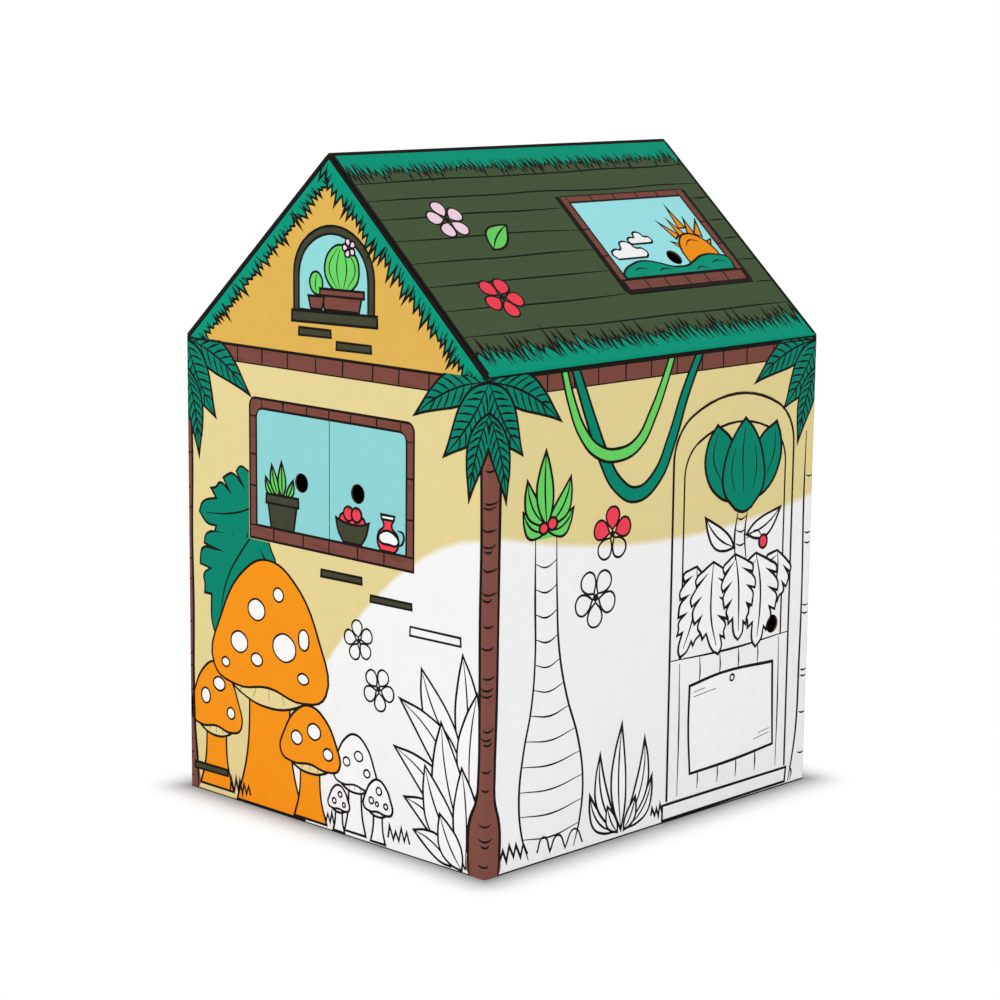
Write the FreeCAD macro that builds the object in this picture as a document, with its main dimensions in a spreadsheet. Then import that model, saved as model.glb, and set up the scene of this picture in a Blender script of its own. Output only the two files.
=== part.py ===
import FreeCAD, Part
import os
import Sketcher

# A child's playhouse folded from corrugated board: a wall wrap with a gable at each end, a roof sheet
# creased at the ridge, and four flaps that open: a door, two window shutters and a roof hatch.
# Millimetres, +Z up. The origin is at the middle of the floor. The front gable, which holds the
# window, faces -Y, and the door is in the side wall at +X.

SIZES = [
    # name, value, what it sets
    ("board", 4.0, "thickness of the corrugated board"),
    ("fold_radius", 1.0, "inner radius of a fold"),
    ("slit", 0.6, "width of a cut round a flap"),
    ("finger_hole", 36.0, "diameter of a finger hole"),
    ("wall_width", 800.0, "gable wall, outside, along X"),
    ("wall_depth", 900.0, "side wall, outside, along Y"),
    ("eave_height", 880.0, "floor to the top of a side wall"),
    ("roof_pitch", 42.0, "slope of the roof in degrees"),
    ("gable_clip", 3.0, "how far the tip of a gable is cut down"),
    ("glue_flap_width", 45.0, "glued flap that closes the wall wrap"),
    ("glue_flap_inset", 15.0, "glued flap, in from the floor and from the eave"),
    ("glue_flap_bevel", 20.0, "slanted ends of the glued flap"),
    ("roof_play", 0.5, "gap between a side wall and the roof flap inside it"),
    ("verge_inset", 1.0, "roof edge, in from the face of the gable"),
    ("tuck_depth", 70.0, "roof flap, down from the eave"),
    ("tuck_relief", 12.0, "roof flap, in from the inside of the gable"),
    ("tuck_taper", 25.0, "slanted ends of the roof flap"),
    ("window_width", 440.0, "cut round both shutters, along X"),
    ("window_height", 267.0, "cut round both shutters, along Z"),
    ("window_drop", 95.0, "eave to the top of the shutters"),
    ("window_corner", 18.0, "radius of the two upper corners"),
    ("shutter_hole_inset", 75.0, "finger hole, from the middle of the window"),
    ("shutter_hole_rise", 122.0, "finger hole, above the bottom of the shutters"),
    ("door_setback", 61.0, "rear corner to the door's free edge"),
    ("door_width", 358.0, "hinge to the free edge"),
    ("door_base", 38.0, "floor to the bottom of the door"),
    ("door_shoulder", 200.0, "eave to the spring of the door's arch"),
    ("door_haunch", 95.0, "radius at the two sides of the arch"),
    ("door_crown", 281.0, "radius over the top of the arch"),
    ("door_hole_inset", 54.0, "finger hole, from the free edge"),
    ("door_hole_rise", 295.0, "finger hole, above the bottom of the door"),
    ("hatch_setback", 63.0, "rear face of the house to the side of the hatch"),
    ("hatch_width", 357.0, "hatch, along Y"),
    ("hatch_rise", 149.0, "eave crease to the hatch's free edge, up the slope"),
    ("hatch_length", 243.0, "hinge to the free edge, down the slope"),
    ("hatch_corner", 10.0, "radius of the two lower corners"),
    ("hatch_hole_side", 190.0, "finger hole, from the front side of the hatch"),
    ("hatch_hole_inset", 72.0, "finger hole, from the free edge"),
]

# Sizes that several features share, as expressions on the sheet.
HALF_WIDTH = "Sizes.wall_width / 2"
HALF_DEPTH = "Sizes.wall_depth / 2"
BOARD = "Sizes.board"
EAVE = "Sizes.eave_height"
# The roof's two flaps stand inside the side walls, so its creases lie this far from the middle.
CREASE = "(Sizes.wall_width / 2 - Sizes.board - Sizes.roof_play)"
CREASE_INNER = "(%s - Sizes.board)" % CREASE
SLOPE_RISE = "(%s * tan(Sizes.roof_pitch))" % CREASE
BOARD_UPRIGHT = "(Sizes.board / cos(Sizes.roof_pitch))"
RIDGE_INNER = "(Sizes.eave_height + %s)" % SLOPE_RISE
RIDGE_OUTER = "(%s + %s)" % (RIDGE_INNER, BOARD_UPRIGHT)
GABLE_TIP = "(%s - Sizes.gable_clip)" % RIDGE_INNER
TIP_HALF = "(Sizes.gable_clip / tan(Sizes.roof_pitch))"
CUT_MARGIN = "2 * Sizes.board"
WINDOW_TOP = "(Sizes.eave_height - Sizes.window_drop)"
WINDOW_BASE = "(%s - Sizes.window_height)" % WINDOW_TOP
DOOR_FREE = "(Sizes.wall_depth / 2 - Sizes.door_setback)"
DOOR_HINGE = "(%s - Sizes.door_width)" % DOOR_FREE
DOOR_SPRING = "(Sizes.eave_height - Sizes.door_shoulder)"
HATCH_REAR = "(Sizes.wall_depth / 2 - Sizes.hatch_setback)"
HATCH_FRONT = "(%s - Sizes.hatch_width)" % HATCH_REAR
HATCH_LOWER = "(%s / cos(Sizes.roof_pitch) - Sizes.hatch_rise)" % CREASE
HATCH_HINGE = "(%s - Sizes.hatch_length)" % HATCH_LOWER

document = FreeCAD.newDocument("cardboard_playhouse")


def make_sheet():
    sheet = document.addObject("Spreadsheet::Sheet", "Sizes")
    for row, (name, value, meaning) in enumerate(SIZES, start=1):
        sheet.set("A%d" % row, meaning)
        sheet.set("B%d" % row, str(value))
        sheet.setAlias("B%d" % row, name)
    document.recompute()
    return sheet


def number(expression):
    """Present value of an expression on the sheet."""
    result = sheet.evalExpression(expression.replace("Sizes.", ""))
    return float(getattr(result, "Value", result))


def new_body(name):
    body = document.addObject("PartDesign::Body", name)
    body.Label = name
    return body


def new_sketch(body, role, name):
    plane = next(item for item in body.Origin.OriginFeatures if item.Role == role)
    sketch = body.newObject("Sketcher::SketchObject", name)
    sketch.AttachmentSupport = [(plane, "")]
    sketch.MapMode = "FlatFace"
    return sketch


def bind(sketch, kind, where, expression):
    """Add one dimension to a sketch and tie it to the sheet."""
    index = sketch.addConstraint(Sketcher.Constraint(kind, *where, number(expression)))
    sketch.setExpression("Constraints[%d]" % index, expression)


def bind_point(sketch, geometry, point, across, up):
    bind(sketch, "DistanceX", (-1, 1, geometry, point), across)
    bind(sketch, "DistanceY", (-1, 1, geometry, point), up)


def add_polygon(sketch, corners):
    """Closed outline of straight lines through corners given as pairs of expressions."""
    first = sketch.GeometryCount
    places = [FreeCAD.Vector(number(across), number(up), 0) for across, up in corners]
    for start, end in zip(places, places[1:] + places[:1]):
        sketch.addGeometry(Part.LineSegment(start, end), False)
    for index, (across, up) in enumerate(corners):
        following = (index + 1) % len(corners)
        sketch.addConstraint(Sketcher.Constraint("Coincident", first + index, 2, first + following, 1))
        bind_point(sketch, first + index, 1, across, up)


def add_rectangle(sketch, left, right, low, high):
    add_polygon(sketch, [(left, low), (right, low), (right, high), (left, high)])


def add_circle(sketch, across, up, diameter):
    centre = FreeCAD.Vector(number(across), number(up), 0)
    circle = Part.Circle(centre, FreeCAD.Vector(0, 0, 1), number(diameter) / 2)
    index = sketch.addGeometry(circle, False)
    bind_point(sketch, index, 3, across, up)
    bind(sketch, "Diameter", (index,), diameter)


def add_arched_outline(sketch, left, right, base, spring, haunch, crown):
    """Upright outline closed by a three-centred arch; every argument is an expression."""
    x_left, x_right = number(left), number(right)
    z_base, z_spring = number(base), number(spring)
    r_haunch, r_crown = number(haunch), number(crown)
    middle = (x_left + x_right) / 2
    reach = (x_right - x_left) / 2 - r_haunch
    drop = ((r_crown - r_haunch) ** 2 - reach ** 2) ** 0.5
    crown_centre = FreeCAD.Vector(middle, z_spring - drop, 0)
    up = FreeCAD.Vector(0, 0, 1)

    def point(x, z):
        return FreeCAD.Vector(x, z, 0)

    def direction(centre):
        return (centre - crown_centre).normalize()

    right_centre = point(x_right - r_haunch, z_spring)
    left_centre = point(x_left + r_haunch, z_spring)
    right_joint = crown_centre + direction(right_centre) * r_crown
    left_joint = crown_centre + direction(left_centre) * r_crown

    def arc(centre, radius, start, end):
        circle = Part.Circle(centre, up, radius)
        return Part.ArcOfCircle(circle, circle.parameter(start), circle.parameter(end))

    floor = sketch.addGeometry(Part.LineSegment(point(x_left, z_base), point(x_right, z_base)), False)
    right_side = sketch.addGeometry(
        Part.LineSegment(point(x_right, z_base), point(x_right, z_spring)), False)
    right_arc = sketch.addGeometry(arc(right_centre, r_haunch, point(x_right, z_spring), right_joint), False)
    crown_arc = sketch.addGeometry(arc(crown_centre, r_crown, right_joint, left_joint), False)
    left_arc = sketch.addGeometry(arc(left_centre, r_haunch, left_joint, point(x_left, z_spring)), False)
    left_side = sketch.addGeometry(
        Part.LineSegment(point(x_left, z_spring), point(x_left, z_base)), False)

    sketch.addConstraint([
        Sketcher.Constraint("Coincident", floor, 2, right_side, 1),
        Sketcher.Constraint("Coincident", left_side, 2, floor, 1),
        Sketcher.Constraint("Tangent", right_side, 2, right_arc, 1),
        Sketcher.Constraint("Tangent", right_arc, 2, crown_arc, 1),
        Sketcher.Constraint("Tangent", crown_arc, 2, left_arc, 1),
        Sketcher.Constraint("Tangent", left_arc, 2, left_side, 1),
        Sketcher.Constraint("Vertical", right_side),
        Sketcher.Constraint("Vertical", left_side),
    ])
    bind_point(sketch, floor, 1, left, base)
    bind_point(sketch, floor, 2, right, base)
    bind(sketch, "DistanceY", (-1, 1, right_arc, 3), spring)
    bind(sketch, "DistanceY", (-1, 1, left_arc, 3), spring)
    bind(sketch, "Radius", (right_arc,), haunch)
    bind(sketch, "Radius", (left_arc,), haunch)
    bind(sketch, "Radius", (crown_arc,), crown)


def pad(body, sketch, length, backwards=False, both_ways=False):
    feature = body.newObject("PartDesign::Pad", sketch.Name + "_pad")
    feature.Profile = sketch
    feature.setExpression("Length", length)
    feature.Reversed = backwards
    feature.Midplane = both_ways
    sketch.Visibility = False
    return feature


def pocket(body, sketch, length, backwards=False, both_ways=False):
    """Cut a sketch out of its body, and check that the cut took something away."""
    document.recompute()
    before = body.Shape.Volume
    feature = body.newObject("PartDesign::Pocket", sketch.Name + "_cut")
    feature.Profile = sketch
    feature.setExpression("Length", length)
    feature.Reversed = backwards
    feature.Midplane = both_ways
    sketch.Visibility = False
    document.recompute()
    if not body.Shape.Volume < before - 1.0:
        raise RuntimeError("%s cuts nothing" % feature.Name)
    return feature


def round_edges(body, radius, choose, name):
    """Fillet the straight edges of a body whose middle and direction pass a test."""
    document.recompute()
    base = body.Tip
    names = []
    for index, edge in enumerate(base.Shape.Edges, start=1):
        if edge.Curve.TypeId != "Part::GeomLine":
            continue
        direction = edge.tangentAt(edge.FirstParameter)
        middle = edge.valueAt((edge.FirstParameter + edge.LastParameter) / 2)
        if choose(middle, direction):
            names.append("Edge%d" % index)
    if not names:
        raise RuntimeError("no edge to round for %s" % name)
    feature = body.newObject("PartDesign::Fillet", name)
    feature.Base = (base, names)
    feature.setExpression("Radius", radius)
    return feature


def near(value, expression):
    return abs(value - number(expression)) < 0.01


def make_walls():
    """Wall wrap: four walls folded from one sheet and closed by a glued flap inside the rear gable."""
    body = new_body("walls")
    plan = new_sketch(body, "XY_Plane", "wall_plan")
    add_rectangle(plan, "-" + HALF_WIDTH, HALF_WIDTH, "-" + HALF_DEPTH, HALF_DEPTH)
    inner_x = "(%s - %s)" % (HALF_WIDTH, BOARD)
    inner_y = "(%s - %s)" % (HALF_DEPTH, BOARD)
    add_rectangle(plan, "-" + inner_x, inner_x, "-" + inner_y, inner_y)
    pad(body, plan, RIDGE_INNER)
    round_edges(body, "Sizes.fold_radius + Sizes.board",
                lambda at, along: abs(along.z) > 0.9 and near(abs(at.x), HALF_WIDTH), "outer_folds")
    round_edges(body, "Sizes.fold_radius",
                lambda at, along: abs(along.z) > 0.9 and near(abs(at.x), inner_x), "inner_folds")

    gables = new_sketch(body, "XZ_Plane", "gable_outline")
    beyond_x = "(%s + %s)" % (HALF_WIDTH, CUT_MARGIN)
    beyond_z = "(%s + %s)" % (RIDGE_INNER, CUT_MARGIN)
    add_polygon(gables, [
        ("-" + beyond_x, EAVE), ("-" + CREASE, EAVE), ("-" + TIP_HALF, GABLE_TIP),
        (TIP_HALF, GABLE_TIP), (CREASE, EAVE), (beyond_x, EAVE),
        (beyond_x, beyond_z), ("-" + beyond_x, beyond_z),
    ])
    pocket(body, gables, "Sizes.wall_depth + %s" % CUT_MARGIN, both_ways=True)

    glue = new_sketch(body, "XZ_Plane", "glue_flap")
    glue.setExpression("AttachmentOffset.Base.z", "-(%s)" % inner_y)
    flap_end = "(-%s + Sizes.glue_flap_width)" % inner_x
    low = "Sizes.glue_flap_inset"
    high = "(%s - Sizes.glue_flap_inset)" % EAVE
    add_polygon(glue, [
        ("-" + inner_x, low), (flap_end, "(%s + Sizes.glue_flap_bevel)" % low),
        (flap_end, "(%s - Sizes.glue_flap_bevel)" % high), ("-" + inner_x, high),
    ])
    pad(body, glue, BOARD)

    window = new_sketch(body, "XZ_Plane", "window_opening")
    side = "(Sizes.window_width / 2 + Sizes.slit)"
    top = "(%s + Sizes.slit)" % WINDOW_TOP
    add_rectangle(window, "-" + side, side, "(%s - Sizes.slit)" % WINDOW_BASE, top)
    pocket(body, window, HALF_DEPTH, backwards=True)
    round_edges(body, "Sizes.window_corner + Sizes.slit",
                lambda at, along: (abs(along.y) > 0.9 and at.y < 0 and near(at.z, top)
                                   and near(abs(at.x), side)), "window_corners")

    doorway = new_sketch(body, "YZ_Plane", "door_opening")
    add_arched_outline(doorway, "(%s - Sizes.slit)" % DOOR_HINGE, "(%s + Sizes.slit)" % DOOR_FREE,
                       "(Sizes.door_base - Sizes.slit)", DOOR_SPRING,
                       "(Sizes.door_haunch + Sizes.slit)", "(Sizes.door_crown + Sizes.slit)")
    pocket(body, doorway, HALF_WIDTH, backwards=True)
    return body


def make_roof():
    """Roof sheet: two panels creased at the ridge, each with a flap tucked inside its side wall."""
    body = new_body("roof")
    section = new_sketch(body, "XZ_Plane", "roof_section")
    crease_top = "(%s + %s)" % (EAVE, BOARD_UPRIGHT)
    inner_top = "(%s + Sizes.board * tan(Sizes.roof_pitch))" % EAVE
    flap_end = "(%s - Sizes.tuck_depth)" % EAVE
    right = [(CREASE, crease_top), (CREASE, flap_end), (CREASE_INNER, flap_end), (CREASE_INNER, inner_top)]
    left = [("-" + across, up) for across, up in reversed(right)]
    add_polygon(section, [("0", RIDGE_OUTER)] + right + [("0", RIDGE_INNER)] + left)
    pad(body, section, "Sizes.wall_depth - 2 * Sizes.verge_inset", both_ways=True)

    ends = new_sketch(body, "XZ_Plane", "flap_relief")
    flap_side = "(%s - Sizes.board - Sizes.tuck_relief)" % HALF_DEPTH
    ends.setExpression("AttachmentOffset.Base.z", flap_side)
    below = "(%s - %s)" % (flap_end, CUT_MARGIN)
    outside = "(%s + %s)" % (CREASE, CUT_MARGIN)
    outside_top = "(%s - %s * tan(Sizes.roof_pitch))" % (EAVE, CUT_MARGIN)
    inside = "(%s - 2 * Sizes.board)" % CREASE
    inside_top = "(%s + 2 * Sizes.board * tan(Sizes.roof_pitch))" % EAVE
    corner = [(outside, outside_top), (outside, below), (inside, below), (inside, inside_top)]
    add_polygon(ends, corner)
    add_polygon(ends, [("-" + across, up) for across, up in corner])
    relief = pocket(body, ends, "Sizes.tuck_relief + Sizes.board", backwards=True)

    taper = new_sketch(body, "YZ_Plane", "flap_taper")
    add_polygon(taper, [
        ("-" + flap_side, EAVE), ("-(%s + %s)" % (flap_side, CUT_MARGIN), EAVE),
        ("-(%s + %s)" % (flap_side, CUT_MARGIN), below), ("-(%s - Sizes.tuck_taper)" % flap_side, below),
    ])
    slant = pocket(body, taper, "Sizes.wall_width", both_ways=True)
    mirror = body.newObject("PartDesign::Mirrored", "rear_flap_ends")
    mirror.Originals = [relief, slant]
    middle = next(item for item in body.Origin.OriginFeatures if item.Role == "XZ_Plane")
    mirror.MirrorPlane = (middle, [""])
    body.Tip = mirror

    def is_fold(at, along, across, up):
        return abs(along.y) > 0.9 and near(abs(at.x), across) and near(at.z, up)

    round_edges(body, "Sizes.fold_radius + Sizes.board",
                lambda at, along: is_fold(at, along, "0", RIDGE_OUTER)
                or is_fold(at, along, CREASE, crease_top), "outer_creases")
    round_edges(body, "Sizes.fold_radius",
                lambda at, along: is_fold(at, along, "0", RIDGE_INNER)
                or is_fold(at, along, CREASE_INNER, inner_top), "inner_creases")

    hatchway = new_sketch(body, "XY_Plane", "hatch_opening")
    hatchway.AttachmentOffset = FreeCAD.Placement(
        FreeCAD.Vector(0, 0, 0), FreeCAD.Rotation(FreeCAD.Vector(0, 1, 0), 10))
    hatchway.setExpression("AttachmentOffset.Base.z", RIDGE_OUTER)
    hatchway.setExpression("AttachmentOffset.Rotation.Angle", "Sizes.roof_pitch")
    near_side = "(%s - Sizes.slit)" % HATCH_FRONT
    far_side = "(%s + Sizes.slit)" % HATCH_REAR
    lower = "(%s + Sizes.slit)" % HATCH_LOWER
    add_rectangle(hatchway, "(%s - Sizes.slit)" % HATCH_HINGE, lower, near_side, far_side)
    pocket(body, hatchway, "2 * Sizes.board")
    low_at = "(%s * cos(Sizes.roof_pitch))" % lower
    round_edges(body, "Sizes.hatch_corner + Sizes.slit",
                lambda at, along: (abs(along.y) < 0.1 and abs(along.z) > 0.5
                                   and (near(at.y, near_side) or near(at.y, far_side))
                                   and abs(at.x - number(low_at)) < 2 * number(BOARD)), "hatch_corners")
    return body


def make_flap(name, outline, hole, corners):
    """Flat flap with its printed face at z = 0 and its hinge on the local Y axis."""
    body = new_body(name)
    face = new_sketch(body, "XY_Plane", name + "_outline")
    outline(face)
    pad(body, face, BOARD, backwards=True)
    finger = new_sketch(body, "XY_Plane", name + "_finger_hole")
    add_circle(finger, hole[0], hole[1], "Sizes.finger_hole")
    pocket(body, finger, CUT_MARGIN)
    for radius, across, up, label in corners:
        round_edges(body, radius,
                    lambda at, along: abs(along.z) > 0.9 and near(at.x, across) and near(at.y, up), label)
    return body


def place(body, across, along, up, rotation):
    """Stand a flap in its opening, tied to the sizes of the house."""
    body.Placement = FreeCAD.Placement(FreeCAD.Vector(), rotation)
    for axis, expression in zip("xyz", (across, along, up)):
        body.setExpression("Placement.Base.%s" % axis, expression)


def make_shutters():
    width = "(Sizes.window_width / 2 - Sizes.slit / 2)"
    height = "Sizes.window_height"
    hole_from_hinge = "(Sizes.window_width / 2 - Sizes.shutter_hole_inset)"
    upright = FreeCAD.Rotation(FreeCAD.Vector(1, 0, 0), 90)
    for name, sign in (("left_shutter", ""), ("right_shutter", "-")):
        sides = ("0", width) if sign == "" else ("-" + width, "0")
        body = make_flap(name, lambda face: add_rectangle(face, sides[0], sides[1], "0", height),
                         (sign + hole_from_hinge, "Sizes.shutter_hole_rise"),
                         [("Sizes.window_corner", "0", height, name + "_corner")])
        hinge = "Sizes.window_width / 2"
        place(body, ("-" if sign == "" else "") + hinge, "-" + HALF_DEPTH, WINDOW_BASE, upright)
        yield body


def make_door():
    body = make_flap("door", lambda face: add_arched_outline(
        face, "0", "Sizes.door_width", "0", "(%s - Sizes.door_base)" % DOOR_SPRING,
        "Sizes.door_haunch", "Sizes.door_crown"),
        ("(Sizes.door_width - Sizes.door_hole_inset)", "Sizes.door_hole_rise"), [])
    sideways = FreeCAD.Rotation(FreeCAD.Vector(1, 1, 1), 120)
    place(body, HALF_WIDTH, DOOR_HINGE, "Sizes.door_base", sideways)
    return body


def make_hatch():
    lower = "Sizes.hatch_length"
    corners = [("Sizes.hatch_corner", lower, side, "roof_hatch_corner_" + label)
               for side, label in (("0", "front"), ("Sizes.hatch_width", "rear"))]
    body = make_flap("roof_hatch", lambda face: add_rectangle(face, "0", lower, "0", "Sizes.hatch_width"),
                     ("(Sizes.hatch_length - Sizes.hatch_hole_inset)", "Sizes.hatch_hole_side"), corners)
    place(body, "%s * cos(Sizes.roof_pitch)" % HATCH_HINGE, HATCH_FRONT,
          "%s - %s * sin(Sizes.roof_pitch)" % (RIDGE_OUTER, HATCH_HINGE),
          FreeCAD.Rotation(FreeCAD.Vector(0, 1, 0), 10))
    body.setExpression("Placement.Rotation.Angle", "Sizes.roof_pitch")
    return body


def check_and_export(bodies):
    document.recompute()
    for item in document.Objects:
        if "Invalid" in item.State or "Error" in item.State:
            raise RuntimeError("%s failed: %s" % (item.Name, item.State))
    for body in bodies:
        if body.Shape.isNull() or not body.Shape.isValid() or len(body.Shape.Solids) != 1:
            raise RuntimeError("%s is not one valid solid" % body.Label)
    os.makedirs("parts", exist_ok=True)
    for body in bodies:
        body.Shape.exportStep("parts/%s.step" % body.Label)
        print("%-14s %12.0f mm3" % (body.Label, body.Shape.Volume))


sheet = make_sheet()
pieces = [make_walls(), make_roof(), *make_shutters(), make_door(), make_hatch()]
check_and_export(pieces)
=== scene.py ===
"""Looks of the cardboard playhouse: board, artwork as thin printed plates, and the studio."""

import math
import random

import bpy
from bpy.props import FloatProperty, FloatVectorProperty, PointerProperty
from mathutils import Matrix, Vector


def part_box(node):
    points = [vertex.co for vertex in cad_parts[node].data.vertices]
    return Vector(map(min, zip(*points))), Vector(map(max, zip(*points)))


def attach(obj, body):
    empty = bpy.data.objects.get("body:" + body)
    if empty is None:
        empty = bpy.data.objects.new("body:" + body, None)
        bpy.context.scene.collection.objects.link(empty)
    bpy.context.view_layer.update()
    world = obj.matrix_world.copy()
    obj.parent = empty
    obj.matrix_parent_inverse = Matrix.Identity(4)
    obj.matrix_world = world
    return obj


bl_info = {
    "name": "Cardboard playhouse",
    "version": (1, 0, 0),
    "blender": (4, 5, 0),
    "location": "3D View > Sidebar > Playhouse",
    "description": "Prints and finishes a folded cardboard playhouse",
    "category": "Object",
}

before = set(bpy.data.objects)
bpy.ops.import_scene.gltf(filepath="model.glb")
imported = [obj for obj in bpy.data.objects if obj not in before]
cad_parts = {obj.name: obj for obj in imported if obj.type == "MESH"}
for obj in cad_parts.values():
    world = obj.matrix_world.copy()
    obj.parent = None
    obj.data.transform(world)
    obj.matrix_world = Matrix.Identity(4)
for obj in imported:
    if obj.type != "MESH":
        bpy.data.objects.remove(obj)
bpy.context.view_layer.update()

MM = 0.001
WALL_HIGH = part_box("walls")[1]
DOOR_LOW, DOOR_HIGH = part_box("door")
SHUTTER_LOW, SHUTTER_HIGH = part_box("left_shutter")
HATCH_LOW, HATCH_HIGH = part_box("roof_hatch")
HALF_WIDTH, HALF_DEPTH = WALL_HIGH.x, WALL_HIGH.y
ROOF_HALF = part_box("roof")[1].x
BOARD = DOOR_HIGH.x - DOOR_LOW.x

# In metres.
RIDGE_FOLD = 0.0082  # dark fold on each side of the ridge
EAVE_FOLD = 0.0026  # teal fold along the eaves
GABLE_LINE = 0.0026  # dark line along the roof's ends
EAVE_LINE = 0.0022  # dark line at the foot of the eaves
PANE_RIM = 0.0032  # dark rim round a pane
SHUTTER_CURVE = 0.015  # what the rim takes of a shutter's rounded corner
SHUTTER_SLIT = 0.0009  # dark edge where the two shutters meet
PAPER = 0.0004  # paper on both sides of the board
FLUTE_PAPER = 0.0003  # half the paper of a flute at a cut edge
RELIEF = 0.00004  # height of the flutes and the paper's tooth under the print
GABLE_START = 0.004  # how far below the eave the ochre begins
EAVE_SHADE_TOP = 0.006  # how far below the eave the tops of the walls are inked, as painted shade
EAVE_SHADE_SIDE = 0.0008  # the same on the upright faces

# In millimetres, as the drawings are.
WIDTH, DEPTH = 2 * HALF_WIDTH / MM, 2 * HALF_DEPTH / MM
CORNER = 5.0  # radius of the folds at the walls' corners
CREASES = (7.5, 15, 15)  # degrees that the print turns at each crease round a corner
CREASE_STEP = 2 * CORNER * math.sin(math.radians(CREASES[0]))
FLOOR_GAP, END_GAP, RIDGE_GAP, EAVE_GAP = 0.15, 1.4, 10.5, 2.4  # margins of the print
WELD = 0.002  # points nearer than this are one
LEAST_FOLD = 0.1  # prints that pass a fold by less stay flat

# Shares of a line's breadth: the lightest and the heaviest press, and where the pen lifts.
PRESS, LIFTED = (0.86, 1.14), 0.42


def colour_property(name, description, red, green, blue):
    """A colour that is written in 0 to 255 steps, as a print shop gives it."""
    steps = (red / 255, green / 255, blue / 255)
    linear = [c / 12.92 if c <= 0.04045 else ((c + 0.055) / 1.055) ** 2.4 for c in steps]
    return FloatVectorProperty(
        name=name, description=description, subtype="COLOR", size=3, min=0, max=1, default=linear
    )


def length_property(name, description, metres):
    return FloatProperty(
        name=name, description=description, default=metres, unit="LENGTH", precision=4
    )


class PlayhouseColours(bpy.types.PropertyGroup):
    """The printing inks and the bare board."""

    white: colour_property("White board", "Board that is left for colouring in", 246, 246, 246)
    cream: colour_property("Cream", "Upper part of the walls", 229, 212, 150)
    ochre: colour_property("Ochre", "Gables", 222, 178, 84)
    kraft: colour_property("Kraft", "Bare brown board inside", 168, 128, 88)
    ink: colour_property("Ink", "Drawn lines", 24, 20, 18)
    teal: colour_property("Teal", "Thatch", 0, 148, 118)
    pine: colour_property("Pine", "Palm fronds, broad leaves, dark vine and bud", 0, 131, 106)
    leaf: colour_property("Leaf", "Light green growth", 103, 208, 98)
    brick: colour_property("Brick", "Brick bands", 121, 71, 61)
    bark: colour_property("Bark", "Corner trunks", 126, 76, 66)
    olive: colour_property("Olive", "Roof planks", 70, 87, 59)
    moss: colour_property("Moss", "Window arch, sill, dashes and pots", 64, 66, 49)
    sky: colour_property("Sky", "Panes of the shutters", 143, 212, 213)
    haze: colour_property("Haze", "Pane of the roof hatch", 160, 232, 236)
    orange: colour_property("Orange", "Toadstools and sun", 243, 147, 20)
    red: colour_property("Red", "Blossoms and fruit", 237, 66, 84)
    pink: colour_property("Pink", "Pale blossoms", 240, 211, 226)


class PlayhouseSizes(bpy.types.PropertyGroup):
    """Sizes of the print, and the two that the roof's place is worked out from."""

    eave_height: length_property("Eave height", "Floor to the crease of the roof", 0.88)
    roof_pitch: FloatProperty(
        name="Roof pitch", description="Slope of the roof",
        default=math.radians(42), subtype="ANGLE",
    )
    line_width: length_property("Line width", "Breadth of a drawn line", 0.0046)
    ink_layer: length_property("Ink layer", "Height from one printed layer to the next", 0.00004)
    flute_pitch: length_property("Flute pitch", "From one flute of the board to the next", 0.0075)
    brick_length: length_property("Brick length", "Length of a printed brick", 0.070)


def colours():
    return bpy.context.scene.playhouse_colours


def measures():
    return bpy.context.scene.playhouse_sizes


def eave_level():
    """Millimetres from the floor to the crease of the roof."""
    return measures().eave_height / MM


def down_slope(across):
    """Millimetres down the slope, for metres across the house."""
    return across / math.cos(measures().roof_pitch) / MM


# ---------------------------------------------------------------- faces and prints


class Face:
    """A flat side of the house. Drawings on it are in millimetres, right and up from its corner.

    Limits are edges that a print may not pass, and folds the places where it turns back round a
    rounded corner.
    """

    def __init__(self, corner, right, up, limits, folds=()):
        right, up = Vector(right), Vector(up)
        axes = Matrix((right, up, right.cross(up))).transposed().to_4x4()
        self.matrix = Matrix.Translation(corner) @ axes @ Matrix.Scale(MM, 4)
        self.limits, self.folds = limits, folds

    def shift(self, along):
        """Moves the place that drawings are measured from, while the edges stay."""
        self.matrix = self.matrix @ Matrix.Translation((along, 0, 0))
        self.limits = tuple(((x - along, y), outward) for (x, y), outward in self.limits)
        self.folds = tuple((x - along, outward) for x, outward in self.folds)

    def stop(self, place, outward):
        """Adds an edge through a place, with the way that lies outside it."""
        self.limits += ((place, outward),)


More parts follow.
